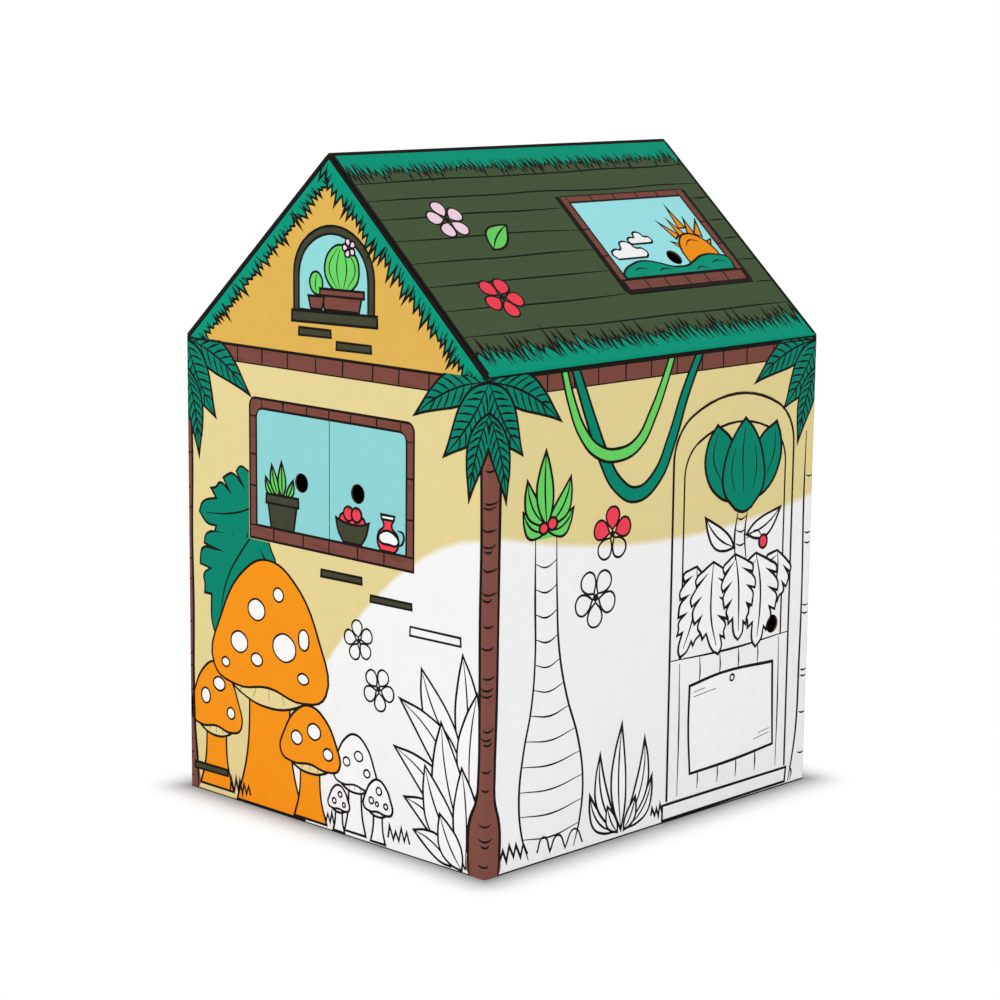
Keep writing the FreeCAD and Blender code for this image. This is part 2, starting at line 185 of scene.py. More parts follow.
def house_faces():
    """The four walls and the two slopes, each with the edges that its print may not pass."""
    pitch = measures().roof_pitch
    ridge = measures().eave_height + ROOF_HALF * math.tan(pitch) + BOARD / math.cos(pitch)
    margin = CORNER - len(CREASES) * CREASE_STEP + 0.01

    def wall(across, along, right, width):
        limits = (
            ((margin, 0), (-1, 0)), ((width - margin, 0), (1, 0)), ((0, FLOOR_GAP), (0, -1)),
        )
        folds = ((CORNER, -1), (width - CORNER, 1))
        return Face((across, along, 0), right, (0, 0, 1), limits, folds)

    def slope(along, right, across):
        limits = (
            ((END_GAP, 0), (-1, 0)), ((DEPTH - END_GAP, 0), (1, 0)), ((0, -RIDGE_GAP), (0, 1)),
            ((0, EAVE_GAP - down_slope(ROOF_HALF)), (0, -1)),
        )
        up = (across * math.cos(pitch), 0, math.sin(pitch))
        return Face((0, along, ridge), right, up, limits)

    return {
        "front": wall(-HALF_WIDTH, -HALF_DEPTH, (1, 0, 0), WIDTH),
        "door_side": wall(HALF_WIDTH, -HALF_DEPTH, (0, 1, 0), DEPTH),
        "rear": wall(HALF_WIDTH, HALF_DEPTH, (-1, 0, 0), WIDTH),
        "far_side": wall(-HALF_WIDTH, HALF_DEPTH, (0, -1, 0), DEPTH),
        "slope": slope(-HALF_DEPTH, (0, 1, 0), -1),
        "far_slope": slope(HALF_DEPTH, (0, -1, 0), 1),
    }


BOARDS = {
    "slope": "roof_board", "far_slope": "roof_board", "door": "door_board",
    "left_shutter": "shutter_board", "right_shutter": "shutter_board", "roof_hatch": "hatch_board",
}


def select_only(*pieces):
    """Selects the pieces and nothing else, the first of them active."""
    bpy.ops.object.select_all(action="DESELECT")
    for piece in pieces:
        piece.select_set(True)
    bpy.context.view_layer.objects.active = pieces[0]


def new_curve(name):
    bpy.ops.object.select_all(action="DESELECT")
    bpy.ops.curve.primitive_bezier_curve_add(location=(0, 0, 0))
    curve = bpy.context.object
    curve.name = name
    curve.data.splines.clear()
    curve.data.dimensions = "2D"
    return curve


def add_spline(curve, points, closed, radii=None):
    """Points with a third value are corners, and the line runs smoothly through the others."""
    spline = curve.data.splines.new("BEZIER")
    spline.bezier_points.add(len(points) - 1)
    for number, (knot, point) in enumerate(zip(spline.bezier_points, points)):
        knot.co = (point[0], point[1], 0)
        knot.handle_left_type = knot.handle_right_type = "VECTOR" if len(point) > 2 else "AUTO"
        if radii:
            knot.radius = radii[number]
    spline.use_cyclic_u = closed
    straight = all(len(point) > 2 for point in points)
    spline.resolution_u = 1 if straight else 5


def fold_back(plate, place, outward):
    """Turns the part of a flat plate beyond a place round the corner, crease by crease."""
    reach = max((knot.co.x - place) * outward for knot in plate.data.vertices)
    if reach < LEAST_FOLD:
        return
    step = outward * CREASE_STEP
    creases = [(place + step * number, turn) for number, turn in enumerate(CREASES)]
    bpy.ops.object.mode_set(mode="EDIT")
    for x, _ in creases:
        bpy.ops.mesh.select_all(action="SELECT")
        bpy.ops.mesh.bisect(plane_co=(x, 0, 0), plane_no=(1, 0, 0))
    for x, turn in reversed(creases):
        bpy.ops.mesh.select_all(action="DESELECT")
        bpy.ops.object.mode_set(mode="OBJECT")
        for knot in plate.data.vertices:
            knot.select = (knot.co.x - x) * outward > WELD / 2
        bpy.ops.object.mode_set(mode="EDIT")
        bpy.ops.transform.rotate(
            value=-outward * math.radians(turn), orient_axis="Y", center_override=(x, 0, 0)
        )
    bpy.ops.object.mode_set(mode="OBJECT")


class Print:
    """Artwork on one face, collected by colour and by layer. A higher layer covers the rest.

    It is named after its face and what it shows, or after the flap that it rides on.
    """

    def __init__(self, face, what, seed, pen=1.0, flap=None):
        self.name = flap or f"{face}_{what}"
        self.body, self.slot = flap or "house", BOARDS.get(flap or face, "wall_board")
        self.face, self.pen = house_faces()[face], pen
        self.fills, self.lines, self.layer = {}, {}, 0
        self.hand = random.Random(seed)

    def above(self):
        self.layer += 1

    def fill(self, colour, outline):
        self.fills.setdefault((colour, self.layer), []).append(outline)

    def line(self, points, width=1.0, closed=False):
        self.lines.setdefault(self.layer, []).append((points, width * self.pen, closed))

    def strokes(self, width, *lines):
        for points in lines:
            self.line(points, width)

    def shape(self, colour, outline, width=1.0):
        """A filled outline on a layer of its own."""
        self.above()
        self.fill(colour, outline)
        self.line(outline, width, closed=True)

    def radii(self, points, width, closed):
        """A pen that presses unevenly, and lifts where an open line doesn't end at a corner."""
        pressed = [width * self.hand.uniform(*PRESS) for _ in points]
        for end in (0, -1):
            if not closed and len(points[end]) < 3:
                pressed[end] = LIFTED * width
        return pressed

    def laid(self, curve, height, flatness=1.0):
        """Makes the curve a closed mesh on the face, cut off at the face's edges."""
        select_only(curve)
        bpy.ops.object.convert(target="MESH")
        plate = bpy.context.object
        flat = Matrix.Diagonal((1, 1, flatness, 1))
        plate.matrix_world = Matrix.Translation((0, 0, height)) @ flat
        bpy.ops.object.transform_apply()
        bpy.ops.object.mode_set(mode="EDIT")
        bpy.ops.mesh.select_all(action="SELECT")
        bpy.ops.mesh.remove_doubles(threshold=WELD)
        for place, outward in self.face.limits:
            bpy.ops.mesh.select_all(action="SELECT")
            bpy.ops.mesh.bisect(
                plane_co=(*place, 0), plane_no=(*outward, 0), clear_outer=True, use_fill=True
            )
        bpy.ops.mesh.select_all(action="SELECT")
        bpy.ops.mesh.normals_make_consistent(inside=False)
        bpy.ops.object.mode_set(mode="OBJECT")
        for place, outward in self.face.folds:
            fold_back(plate, place, outward)
        plate.matrix_world = self.face.matrix
        bpy.ops.object.transform_apply()
        return plate

    def make(self):
        """Makes one piece of each colour, and one of the drawn lines."""
        step, pen_width = measures().ink_layer / MM, measures().line_width / MM
        parts = {}
        for (colour, layer), outlines in sorted(self.fills.items()):
            curve = new_curve(self.name)
            curve.data.fill_mode = "BOTH"
            curve.data.extrude = (layer + 1) * step / 2
            for outline in outlines:
                add_spline(curve, outline, True)
            parts.setdefault(colour, []).append(self.laid(curve, (layer + 1) * step / 2))
        for layer, strokes in sorted(self.lines.items()):
            curve = new_curve(self.name)
            curve.data.fill_mode = "NONE"
            curve.data.use_fill_caps = True
            curve.data.bevel_resolution = 0
            curve.data.bevel_depth = pen_width / 2
            for points, width, closed in strokes:
                add_spline(curve, points, closed, self.radii(points, width, closed))
            flatness = 0.5 * step / curve.data.bevel_depth
            parts.setdefault("ink", []).append(self.laid(curve, (layer + 1) * step, flatness))
        for colour, plates in parts.items():
            select_only(*plates)
            if len(plates) > 1:
                bpy.ops.object.join()
            piece = bpy.context.object
            piece.name = piece.data.name = f"{self.name}_{colour}"
            piece.data.materials.clear()
            piece.data.materials.append(print_finish(colour))
            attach(piece, self.body)


# ---------------------------------------------------------------- finishes


def sum_of(operation, turned=False):
    """A way to work with a value and another one, which adds a Math node."""

    def work(value, other):
        pair = (other, value) if turned else (value, other)
        return value.finish.math(operation, *pair)

    return work


class Value:
    """A number that varies over a surface. Sums written with it add Math nodes."""

    def __init__(self, finish, socket):
        self.finish, self.socket = finish, socket

    __add__ = __radd__ = sum_of("ADD")
    __sub__, __rsub__ = sum_of("SUBTRACT"), sum_of("SUBTRACT", turned=True)
    __mul__ = __rmul__ = sum_of("MULTIPLY")
    __truediv__ = sum_of("DIVIDE")
    __pow__ = sum_of("POWER")
    __gt__, __lt__ = sum_of("GREATER_THAN"), sum_of("LESS_THAN")
    __or__ = sum_of("MAXIMUM")

    def __abs__(self):
        return self.finish.math("ABSOLUTE", self)


class Finish:
    """The nodes of one material, or of the world that is given."""

    def __init__(self, name, world=None):
        self.owner = world or bpy.data.materials.new(name)
        self.owner.use_nodes = True
        self.tree = self.owner.node_tree
        self.tree.nodes.clear()

    def add(self, kind, settings=None, inputs=None, output=0):
        """Adds a node, its settings first and then its sockets, and gives one of its outputs."""
        node = self.tree.nodes.new(kind)
        for name, setting in (settings or {}).items():
            setattr(node, name, setting)
        for name, value in (inputs or {}).items():
            if isinstance(value, Value):
                self.tree.links.new(value.socket, node.inputs[name])
            else:
                node.inputs[name].default_value = value
        return None if output is None else Value(self, node.outputs[output])

    def math(self, operation, *values, clamp=False):
        settings = {"operation": operation, "use_clamp": clamp}
        return self.add("ShaderNodeMath", settings, dict(enumerate(values)))

    def limited(self, value):
        return self.math("ADD", value, 0.0, clamp=True)

    def blend(self, first, second, factor, way="MIX"):
        """The first colour, turning into the second as the factor goes from 0 to 1."""
        inputs = {0: factor}
        for socket, colour in ((6, first), (7, second)):
            inputs[socket] = colour if isinstance(colour, Value) else (*colour, 1)
        return self.add("ShaderNodeMix", {"data_type": "RGBA", "blend_type": way}, inputs, 2)

    def parts_of(self, source):
        """The x, y and z of the piece's own coordinates, or of the way that its surface faces."""
        vector = self.add("ShaderNodeTexCoord", output=source)
        return [self.add("ShaderNodeSeparateXYZ", None, {0: vector}, axis) for axis in "XYZ"]

    def noise(self, scale, detail=2.0, stretch=(1, 1, 1)):
        """Noise on the piece's own coordinates, from 0 to 1, drawn out along an axis by stretch."""
        place = self.add("ShaderNodeTexCoord", output="Object")
        drawn = self.add("ShaderNodeMapping", inputs={"Vector": place, "Scale": stretch})
        inputs = {"Vector": drawn, "Scale": scale, "Detail": detail}
        return self.add("ShaderNodeTexNoise", inputs=inputs, output="Fac")

    def finished(self, colour, roughness):
        """Ends in the surface, with the flutes and the tooth of the paper as its relief."""
        bump = self.add(
            "ShaderNodeBump", inputs={"Strength": 1.0, "Distance": RELIEF, "Height": fluted(self)}
        )
        inputs = {"Base Color": colour, "Roughness": roughness, "Normal": bump}
        inputs["Specular IOR Level"] = PRINT_SHEEN
        return self.surfaced(self.add("ShaderNodeBsdfPrincipled", inputs=inputs))

    def surfaced(self, shader, output="ShaderNodeOutputMaterial"):
        self.add(output, inputs={"Surface": shader}, output=None)
        return self.owner


def shaded(colour, strength):
    return tuple(min(1.0, channel * strength) for channel in colour)


def flute_wave(finish, along):
    return finish.math("SINE", along * (2 * math.pi / measures().flute_pitch))


def fluted(finish):
    """Relief of the flutes, which just show through the printed face, with the paper's tooth.

    They run upright on the walls, and down the slopes of the roof.
    """
    x, y, _ = finish.parts_of("Object")
    _, facing, _ = finish.parts_of("Normal")
    gable = abs(facing) > 0.5
    waves = flute_wave(finish, x * gable + y * (1 - gable)) * 0.5 + 0.5
    return waves * 0.7 + finish.noise(900.0) * 0.3


PRINT_SHEEN = 0.05
STREAKED = {"brick": (14, 14, 90), "bark": (40, 40, 160), "olive": (30, 6, 30), "moss": (30, 6, 30)}


def print_finish(colour):
    """Printing ink on board: a little mottled, drier in places, and streaked on brick and bark."""
    name = f"print_{colour}"
    if name in bpy.data.materials:
        return bpy.data.materials[name]
    finish = Finish(name)
    ink = getattr(colours(), colour)
    base = finish.blend(shaded(ink, 0.95), shaded(ink, 1.05), finish.noise(45.0, 3.0))
    if colour in STREAKED:
        streaks = finish.limited(finish.noise(1.0, 4.0, STREAKED[colour]) * 5 - 2.9)
        base = finish.blend(base, shaded(ink, 0.62), streaks * 0.8)
    return finish.finished(base, finish.noise(160.0) * 0.16 + 0.58)


def board_finish(name, depth_below, outside, painted_edge_shade=1.0, folds_and_painted_shade=None):
    """Corrugated board: printed side, bare brown side, and flutes between two papers at a cut edge,
    with painted shade in the hollows between the flutes.

    depth_below gives how far below the printed side a point lies, and outside the print's colour.
    The fifth argument gives where that colour runs on over an edge: on the roof the printed paper
    over its folds, on the walls their tops under the eaves, inked as painted shade. The shade
    number darkens the bare side and the cut edges below the kraft's own colour: painted shade.
    """
    finish = Finish(name)
    # Painted shade: the bare side and the cut edges take the kraft darkened by the shade number.
    kraft = shaded(colours().kraft, painted_edge_shade)
    x, y, _ = finish.parts_of("Object")
    depth = depth_below(finish)
    inner_paper = depth > BOARD - PAPER
    outer_paper = depth < PAPER
    if folds_and_painted_shade:
        outer_paper = outer_paper | folds_and_painted_shade(finish)
    wave = flute_wave(finish, x + y) * (0.36 * BOARD) + 0.5 * BOARD
    # Painted shade: the hollows between the flutes at a cut edge are darker kraft, the flute paper
    # itself plain kraft.
    edge = finish.blend(shaded(kraft, 0.3), kraft, abs(depth - wave) < FLUTE_PAPER)
    fibres = finish.noise(220.0, 4.0, (1, 1, 0.25))
    bare = finish.blend(shaded(kraft, 0.86), shaded(kraft, 1.12), fibres)
    base = finish.blend(edge, bare, inner_paper)
    mottled = finish.blend((0.93, 0.93, 0.93), (1.0, 1.0, 1.0), finish.noise(35.0, 4.0))
    base = finish.blend(base, finish.blend(outside(finish), mottled, 1.0, "MULTIPLY"), outer_paper)
    return finish.finished(base, finish.noise(160.0) * 0.14 + (0.8 - outer_paper * 0.16))


def colour_edge(finish):
    """How far a point of the walls is inside the coloured part, from 0 to 1 over a soft edge.

    On each wall the colour starts at a height in metres, along a curve that meets the next wall's.
    """
    x, y, z = finish.parts_of("Object")
    face_x, face_y, _ = finish.parts_of("Normal")
    front_height, front_reach, side_height, side_middle = 0.60, 0.62, 0.54, 0.08
    rear_height, far_height, far_reach, softness = 0.574, 0.454, 0.85, 0.012
    across = finish.math("MAXIMUM", HALF_WIDTH - x, 0.0)
    front = (1 - (across / front_reach) ** 1.8) * front_height
    door_side = (y - side_middle) ** 2.0 * 0.25 + side_height
    rear = rear_height - across * 0.15
    far_side = (1 - ((HALF_DEPTH - y) / far_reach) ** 2.0) * far_height
    turned = math.sqrt(0.5)
    height = (
        front * (face_y < -turned) + rear * (face_y > turned)
        + door_side * (face_x > turned) + far_side * (face_x < -turned)
    )
    return finish.limited((z - height) / softness + 0.5)


def wall_colour(finish):
    z = finish.parts_of("Object")[2]
    facing = finish.parts_of("Normal")[1]
    gable = (z > measures().eave_height - GABLE_START) * (abs(facing) > 0.5)
    coloured = finish.blend(colours().cream, colours().ochre, gable)
    printed = finish.blend(colours().white, coloured, colour_edge(finish))
    # The tops of the walls under the eaves are inked: painted shade.
    return finish.blend(printed, colours().ink, painted_eave_shade(finish))


def painted_eave_shade(finish):
    """Painted shade under the eaves: the tops of the walls, and the last bit below them, are inked.
    """
    height = finish.parts_of("Object")[2] - measures().eave_height
    sideways, _, upward = finish.parts_of("Normal")
    return (upward > 0.3) * (height > -EAVE_SHADE_TOP) | (abs(sideways) > 0.3) * (height > -EAVE_SHADE_SIDE)


def plank_colour(finish):
    """Olive planks with a faint grain, teal on the fold at the eaves, and inked along the ends."""
    olive = colours().olive
    grain = finish.noise(1.0, 3.0, (140, 5, 140))
    planks = finish.blend(shaded(olive, 0.86), shaded(olive, 1.12), grain)
    x, y, z = finish.parts_of("Object")
    thatched = finish.blend(planks, colours().teal, abs(x) > ROOF_HALF - EAVE_FOLD)
    bottom = (abs(x) > ROOF_HALF - PAPER) * (z < measures().eave_height + EAVE_LINE)
    dark = (abs(x) < RIDGE_FOLD) | (abs(y) > HALF_DEPTH - GABLE_LINE)
    return finish.blend(thatched, colours().ink, dark | bottom)


def pane_colour(name, *spans, corner=9.0, slit=0.0):
    """A flap's pane, with a dark rim outside its spans: an axis, its lowest and highest place.

    The rim also takes the corners where x and z add up to more than corner, and the edge within
    slit of the middle.
    """

    def colour(finish):
        pane = getattr(colours(), name)
        place = finish.parts_of("Object")
        across, up = abs(place[0]), place[2]
        rim = (across + up > corner) | (across < slit)
        for axis, low, high in spans:
            rim = rim | ((place[axis] < low) | (place[axis] > high))
        clouded = finish.blend(shaded(pane, 0.985), pane, finish.noise(12.0))
        return finish.blend(clouded, colours().ink, rim)

    return colour


def wall_depth(finish):
    x, y, _ = finish.parts_of("Object")
    return 0 - (abs(x) - HALF_WIDTH | abs(y) - HALF_DEPTH)


def door_depth(finish):
    return HALF_WIDTH - finish.parts_of("Object")[0]


def shutter_depth(finish):
    return finish.parts_of("Object")[1] + HALF_DEPTH


def slope_depth(finish):
    pitch = measures().roof_pitch
    x, _, z = finish.parts_of("Object")
    eave_line = ROOF_HALF * math.sin(pitch) + measures().eave_height * math.cos(pitch) + BOARD
    return eave_line - (abs(x) * math.sin(pitch) + z * math.cos(pitch))


def roof_depth(finish):
    """Below the slopes, or behind the upright face at the eaves."""
    upright = ROOF_HALF - abs(finish.parts_of("Object")[0])
    return finish.math("MINIMUM", slope_depth(finish), upright)


def roof_outside(finish):
    """The printed side of the roof, its rounded folds included, told by the way that it faces."""
    pitch = measures().roof_pitch
    face_x, _, face_z = finish.parts_of("Normal")
    side = finish.math("SIGN", finish.parts_of("Object")[0])
    return face_x * side * math.sin(pitch) + face_z * math.cos(pitch) > 0.5


# ---------------------------------------------------------------- motifs


def sharp(*points):
    """Points that are all corners."""
    return [(x, y, 1) for x, y in points]


def disc(x, y, across, high=None):
    """Outline of a round or oval spot, from its middle and its half sizes."""
    high = across if high is None else high
    turns = [math.pi * step / 3 for step in range(6)]
    return [(x + across * math.cos(turn), y + high * math.sin(turn)) for turn in turns]


def box_outline(left, low, right, high):
    return sharp((left, low), (right, low), (right, high), (left, high))


def arch_outline(left, right, base, spring, haunch, crown):
    """Straight sides under a three-centred arch, as a list of corners."""
    middle, half, steps = (left + right) / 2, (right - left) / 2, 10
    reach = half - haunch
    drop = math.sqrt((crown - haunch) ** 2 - reach**2)
    lean = math.asin(reach / (crown - haunch))
    arcs = (
        (right - haunch, spring, haunch, 0, math.pi / 2 - lean),
        (middle, spring - drop, crown, math.pi / 2 - lean, math.pi / 2 + lean),
        (left + haunch, spring, haunch, math.pi / 2 + lean, math.pi),
    )
    outline = [(left, base), (right, base)]
    for x, y, radius, start, end in arcs:
        for step in range(steps):
            turn = start + (end - start) * step / steps
            outline.append((x + radius * math.cos(turn), y + radius * math.sin(turn)))
    return sharp(*outline, (left, spring))


def leaf_axes(base, tip, width, bow=0.0):
    """A function from t along the leaf and s across it, in half widths, to a place on the face."""
    base, along = Vector(base), Vector(tip) - Vector(base)
    across = Vector((-along.y, along.x))
    half = width / 2 / along.length

    def place(t, s, *corner):
        point = base + along * t + across * (bow * math.sin(math.pi * t) + half * s)
        return (point.x, point.y, *corner)

    return place


def pointed_leaf(art, colour, base, tip, width, bow=0.0, veins=0):
    """A smooth pointed leaf with its midrib, and veins that curve forward on both sides."""
    place = leaf_axes(base, tip, width, bow)
    edge = ((0.2, 0.72), (0.46, 1.0), (0.76, 0.62))
    if veins:
        edge = ((0.2, 0.8), (0.44, 1.0), (0.7, 0.64), (0.88, 0.24))
    there, back = [place(t, s) for t, s in edge], [place(t, -s) for t, s in reversed(edge)]
    art.shape(colour, [place(0, 0, 1), *there, place(1, 0, 1), *back])
    art.line([place(t, 0) for t in (0.03, 0.35, 0.7, 0.95)], 0.85)
    for number in range(veins):
        t = 0.1 + 0.68 * number / veins
        reach = 0.88 * math.sin(math.pi * min(0.93, t + 0.13) ** 0.9) ** 1.15
        for side in (1, -1):
            bend, end = place(t + 0.06, 0.5 * reach * side), place(t + 0.14, reach * side)
            art.line([place(t, 0), bend, end], 0.95)


def leaves(art, colour, *rows):
    """Pointed leaves, each from its base to its tip, with its width and its bow."""
    for row in rows:
        pointed_leaf(art, colour, *row)


def torn_leaf(art, colour, base, tip, width, bow, lobes, tear):
    """A broad leaf whose edges are torn into lobes that point to its tip."""
    place = leaf_axes(base, tip, width, bow)

    def breadth(t):
        return math.sin(math.pi * t**0.7) ** 0.8

    span = 0.78 / lobes
    sides = []
    for side, start in ((1, 0.04), (-1, 0.04 - 0.4 * span)):
        edge = []
        for number in range(lobes):
            end = start + (number + 1) * span
            reach = side * art.hand.uniform(0.94, 1.06)
            edge += [
                place(end - 0.55 * span, reach * breadth(end - 0.55 * span)),
                place(end - 0.2 * span, reach * breadth(end) * 1.1),
                place(end + 0.16 * span, reach * breadth(end) * 1.04, 1),
                place(end - 0.06 * span, reach * breadth(end) * (1 - tear), 1),
            ]
        sides.append(edge + [place(0.93, side * 0.26)])
    art.shape(colour, [place(0, 0, 1), *sides[0], place(1, 0, 1), *sides[1][::-1]])
    art.line([place(0.0, 0), place(0.3, 0.02), place(0.6, -0.02), place(0.9, 0)], 0.9)


def blossom(art, x, y, radius, turn, colour=None, coloured_above=-math.inf, heart=None):
    """A flower of five round petals, of which those above a height may be coloured."""
    art.above()
    for number in range(5):
        angle = turn + 2 * math.pi * number / 5
        tip = (x + radius * math.cos(angle), y + radius * math.sin(angle))
        place = leaf_axes((x, y), tip, radius * 0.78)
        edge = ((0.48, 0.78), (0.82, 0.82), (1.0, 0), (0.82, -0.82), (0.48, -0.78))
        outline = [place(0.16, 0, 1)] + [place(t, s) for t, s in edge]
        if colour and place(0.6, 0)[1] > coloured_above:
            art.fill(colour, outline)
        art.line(outline, 0.8, closed=True)
    art.above()
    art.fill(heart or "ink", disc(x, y, radius * 0.13))
    if heart:
        art.line(disc(x, y, radius * 0.13), 0.6, closed=True)


def bricks(art, left, low, right, high, count=None):
    """A band of bricks, one plate for each, set a little unevenly."""
    wide = right - left >= high - low
    run = (right - left) if wide else (high - low)
    count = count or max(1, round(run / (measures().brick_length / MM)))
    joint, edge, slip, tilt = 1.7, 2.7, 0.09, 0.8
    inner = [run * (k + art.hand.uniform(-slip, slip)) / count for k in range(1, count)]
    cuts = [0, *inner, run]
    for start, end in zip(cuts, cuts[1:]):
        lean = art.hand.uniform(-tilt, tilt)
        origin, base, top = (left, low, high) if wide else (low, left, right)
        base, top = base + edge, top - edge
        start, end = origin + start + joint, origin + end - joint
        corners = [(start, base), (end, base), (end + lean, top), (start + lean, top)]
        if not wide:
            corners = [(base, start), (top, start + lean), (top, end + lean), (base, end)]
        art.fill("brick", sharp(*corners))


def fringe(art, start, end, depth, reach, step, lean=0.25, shag=0.75, pen=1.0):
    """Thatch: a band along an edge, with blades on the right of the way from start to end."""
    start, along = Vector(start), Vector(end) - Vector(start)
    length = along.length
    along.normalize()
    into = Vector((along.y, -along.x))
    hand = art.hand

    def place(run, down, *corner):
        point = start + along * min(max(run, 0), length) + into * down
        return (point.x, point.y, *corner)

    blades, run = [], 0.0
    while run < length - step:
        root = depth + hand.uniform(-5, 4)
        tip = reach * hand.uniform(0.82, 1.12) if hand.random() < 0.7 else (depth + reach) / 2
        width = step * hand.uniform(0.55, 1.45)
        blades.append(place(run, root, 1))
        blades.append(place(run + width * (0.5 + lean + hand.uniform(-0.14, 0.14)), tip, 1))
        if hand.random() < shag:
            for _ in range(2):
                slip = hand.uniform(-0.4, 0.4) * width
                stem = place(run + 1 + slip, root + 4)
                rise = root - hand.uniform(0.5, 1.2) * step
                end_point = place(run + slip - width * lean * 1.2, rise)
                art.line([stem, end_point], pen * hand.uniform(0.7, 1.3))
        run += width
    blades.append(place(length, depth, 1))
    art.fill("teal", [place(0, 0, 1), *blades, place(length, 0, 1)])
    art.line(blades, pen)
    art.above()


def palm(art, corner, top, side, tips):
    """Fronds that spread from the top of a corner trunk. side is 1 where they spread right."""
    shade = ((0, 12), (92, 12), (60, -24), (0, -60))
    art.fill("pine", sharp(*((corner + side * out, top + up) for out, up in shade)))
    fronds = ((2, 6, 62, 0.07), (0, 4, 70, -0.05), (-2, -46, 46, 0.05))
    for (out, drop), (base_out, base_up, width, bow) in zip(tips, fronds):
        base, tip = (corner + side * base_out, top + base_up), (corner + side * out, top - drop)
        pointed_leaf(art, "pine", base, tip, width, bow * side, veins=7)


def trunk(art, corner, side, profile, top):
    """Half of a corner trunk. The rings of its bark meet the other half's at the corner."""
    inner = [(corner + side * breadth, height) for breadth, height in profile]
    art.fill("bark", [(corner, top, 1), *inner, (corner, 0, 1)])
    art.line(inner, 1.35)
    marks = 17
    rings = random.Random(marks)
    for number in range(marks):
        height = top * (number + rings.uniform(0.15, 0.85)) / marks * 0.84
        breadth = min(reach for reach, level in profile if abs(level - height) < 130)
        for _ in range(rings.choice((1, 1, 2))):
            end = side * (breadth * art.hand.uniform(0.35, 0.95))
            tip = (corner + end, height + art.hand.uniform(2, 5))
            art.line([(corner, height, 1), (corner + end * 0.55, height + 0.5), tip], 0.8)
            height += rings.uniform(7, 12)


def grass(art, left, right, base, blades, tall):
    """One ragged line of grass."""
    hand = art.hand
    points, x = [], left
    step = (right - left) / blades
    for _ in range(blades):
        points.append((x, base + hand.uniform(-3, 3)))
        points.append((x + step * hand.uniform(0.25, 0.5), base + tall * hand.uniform(0.6, 1.1)))
        x += step
    art.line(sharp(*points, (right, base)), 0.85)


def dash(art, left, low, right, high, colour=None):
    """A short slot-like bar, as cracks are drawn in plaster."""
    art.above()
    outline = sharp((left, low), (right, low + 2), (right - 1, high), (left + 1, high - 1))
    if colour:
        art.fill(colour, outline)
    art.line(outline, 0.9, closed=True)


def ribbon(path, width):
    """Outline of a band along a path, full in the middle and narrower at both ends."""
    sides = ([], [])
    last = len(path) - 1
    for number, point in enumerate(path):
        before, after = path[max(0, number - 1)], path[min(last, number + 1)]
        way = (Vector(after) - Vector(before)).normalized()
        swell = 0.62 + 0.38 * math.sin(math.pi * number / last)
        normal = Vector((-way.y, way.x)) * width * swell / 2
        corner = (1,) if number in (0, last) else ()
        sides[0].append((point[0] + normal.x, point[1] + normal.y, *corner))
        sides[1].append((point[0] - normal.x, point[1] - normal.y, *corner))
    return sides[0] + sides[1][::-1]


# Outline of a toadstool's cap: shares of its breadth, and of the rise above its rim.
CAP = (
    (-0.5, 0.03), (-0.43, 0.24), (-0.2, 0.45), (0, 0.5), (0.22, 0.44), (0.44, 0.23), (0.5, 0.02),
    (0.3, -0.035), (0, -0.01), (-0.3, -0.03),
)


def toadstool(art, x, foot, top, cap, stalk, colour, spots):
    """A toadstool on its foot: stalk, gills and a domed cap, with spots from its rim's middle."""
    rise = top - foot
    rim = foot + rise * 0.5
    bend = foot + rise * 0.2
    art.shape(colour, [
        (x - stalk * 0.62, foot, 1), (x - stalk * 0.42, bend), (x - stalk * 0.36, rim - 4, 1),
        (x + stalk * 0.38, rim - 4, 1), (x + stalk * 0.44, bend), (x + stalk * 0.66, foot, 1),
    ])
    art.shape("cream" if colour == "orange" else "white", [
        (x - cap * 0.44, rim + 4, 1), (x - cap * 0.2, rim - rise * 0.07), (x, rim - rise * 0.09),
        (x + cap * 0.2, rim - rise * 0.07), (x + cap * 0.44, rim + 4, 1),
    ])
    for share in (-0.28, -0.14, 0.0, 0.14, 0.28):
        art.line([(x + cap * share * 0.7, rim + 3), (x + cap * share, rim - rise * 0.062)], 0.6)
    art.shape(colour, [(x + cap * across, rim + rise * up) for across, up in CAP])
    art.above()
    for out, up, across, high in spots:
        spot = disc(x + out, rim + up, across, high)
        art.fill("white", spot)
        art.line(spot, 0.8, closed=True)


# ---------------------------------------------------------------- pieces

# Half breadths of the corner trunks, with the heights they are at.
TRUNKS = {
    "left": (
        (15, 868), (13, 760), (15, 640), (12, 500), (14, 360), (12, 220), (15, 120), (21, 60),
        (23, 0),
    ),
    "right": (
        (16, 868), (17, 740), (15, 600), (17, 460), (16, 300), (17, 190), (22, 140), (38, 100),
        (42, 54), (38, 0),
    ),
    "near": (
        (31, 868), (30, 740), (28, 600), (27, 450), (25, 300), (22, 190), (23, 138), (34, 96),
        (36, 50), (32, 0),
    ),
}
# How far the three fronds of each palm reach sideways and down.
PALMS = {
    "front_left": ((183, 84), (84, 136), (35, 214)),
    "front_right": ((180, 70), (107, 134), (46, 202)),
    "side_near": ((177, 78), (82, 128), (43, 206)),
    "side_far": ((185, 62), (96, 118), (52, 190)),
}
# Corners by face: place along it, way in, palm, layer, and trunk with its seed. The trunk at the
# far corner of the door's side is a few lines only.
CORNERS = (
    ("front", 0, 1, "front_left", 3, "left", 41),
    ("front", WIDTH, -1, "front_right", 11, "right", 42),
    ("door_side", 0, 1, "side_near", 11, "near", 43),
    ("door_side", DEPTH, -1, "side_far", 3, None, None),
    ("rear", 0, 1, "front_left", 3, "left", 44),
    ("rear", WIDTH, -1, "front_right", 11, "right", 45),
    ("far_side", 0, 1, "side_near", 11, "near", 46),
    ("far_side", DEPTH, -1, "side_far", 3, "left", 47),
)
WHERE = {1: "left", -1: "right"}


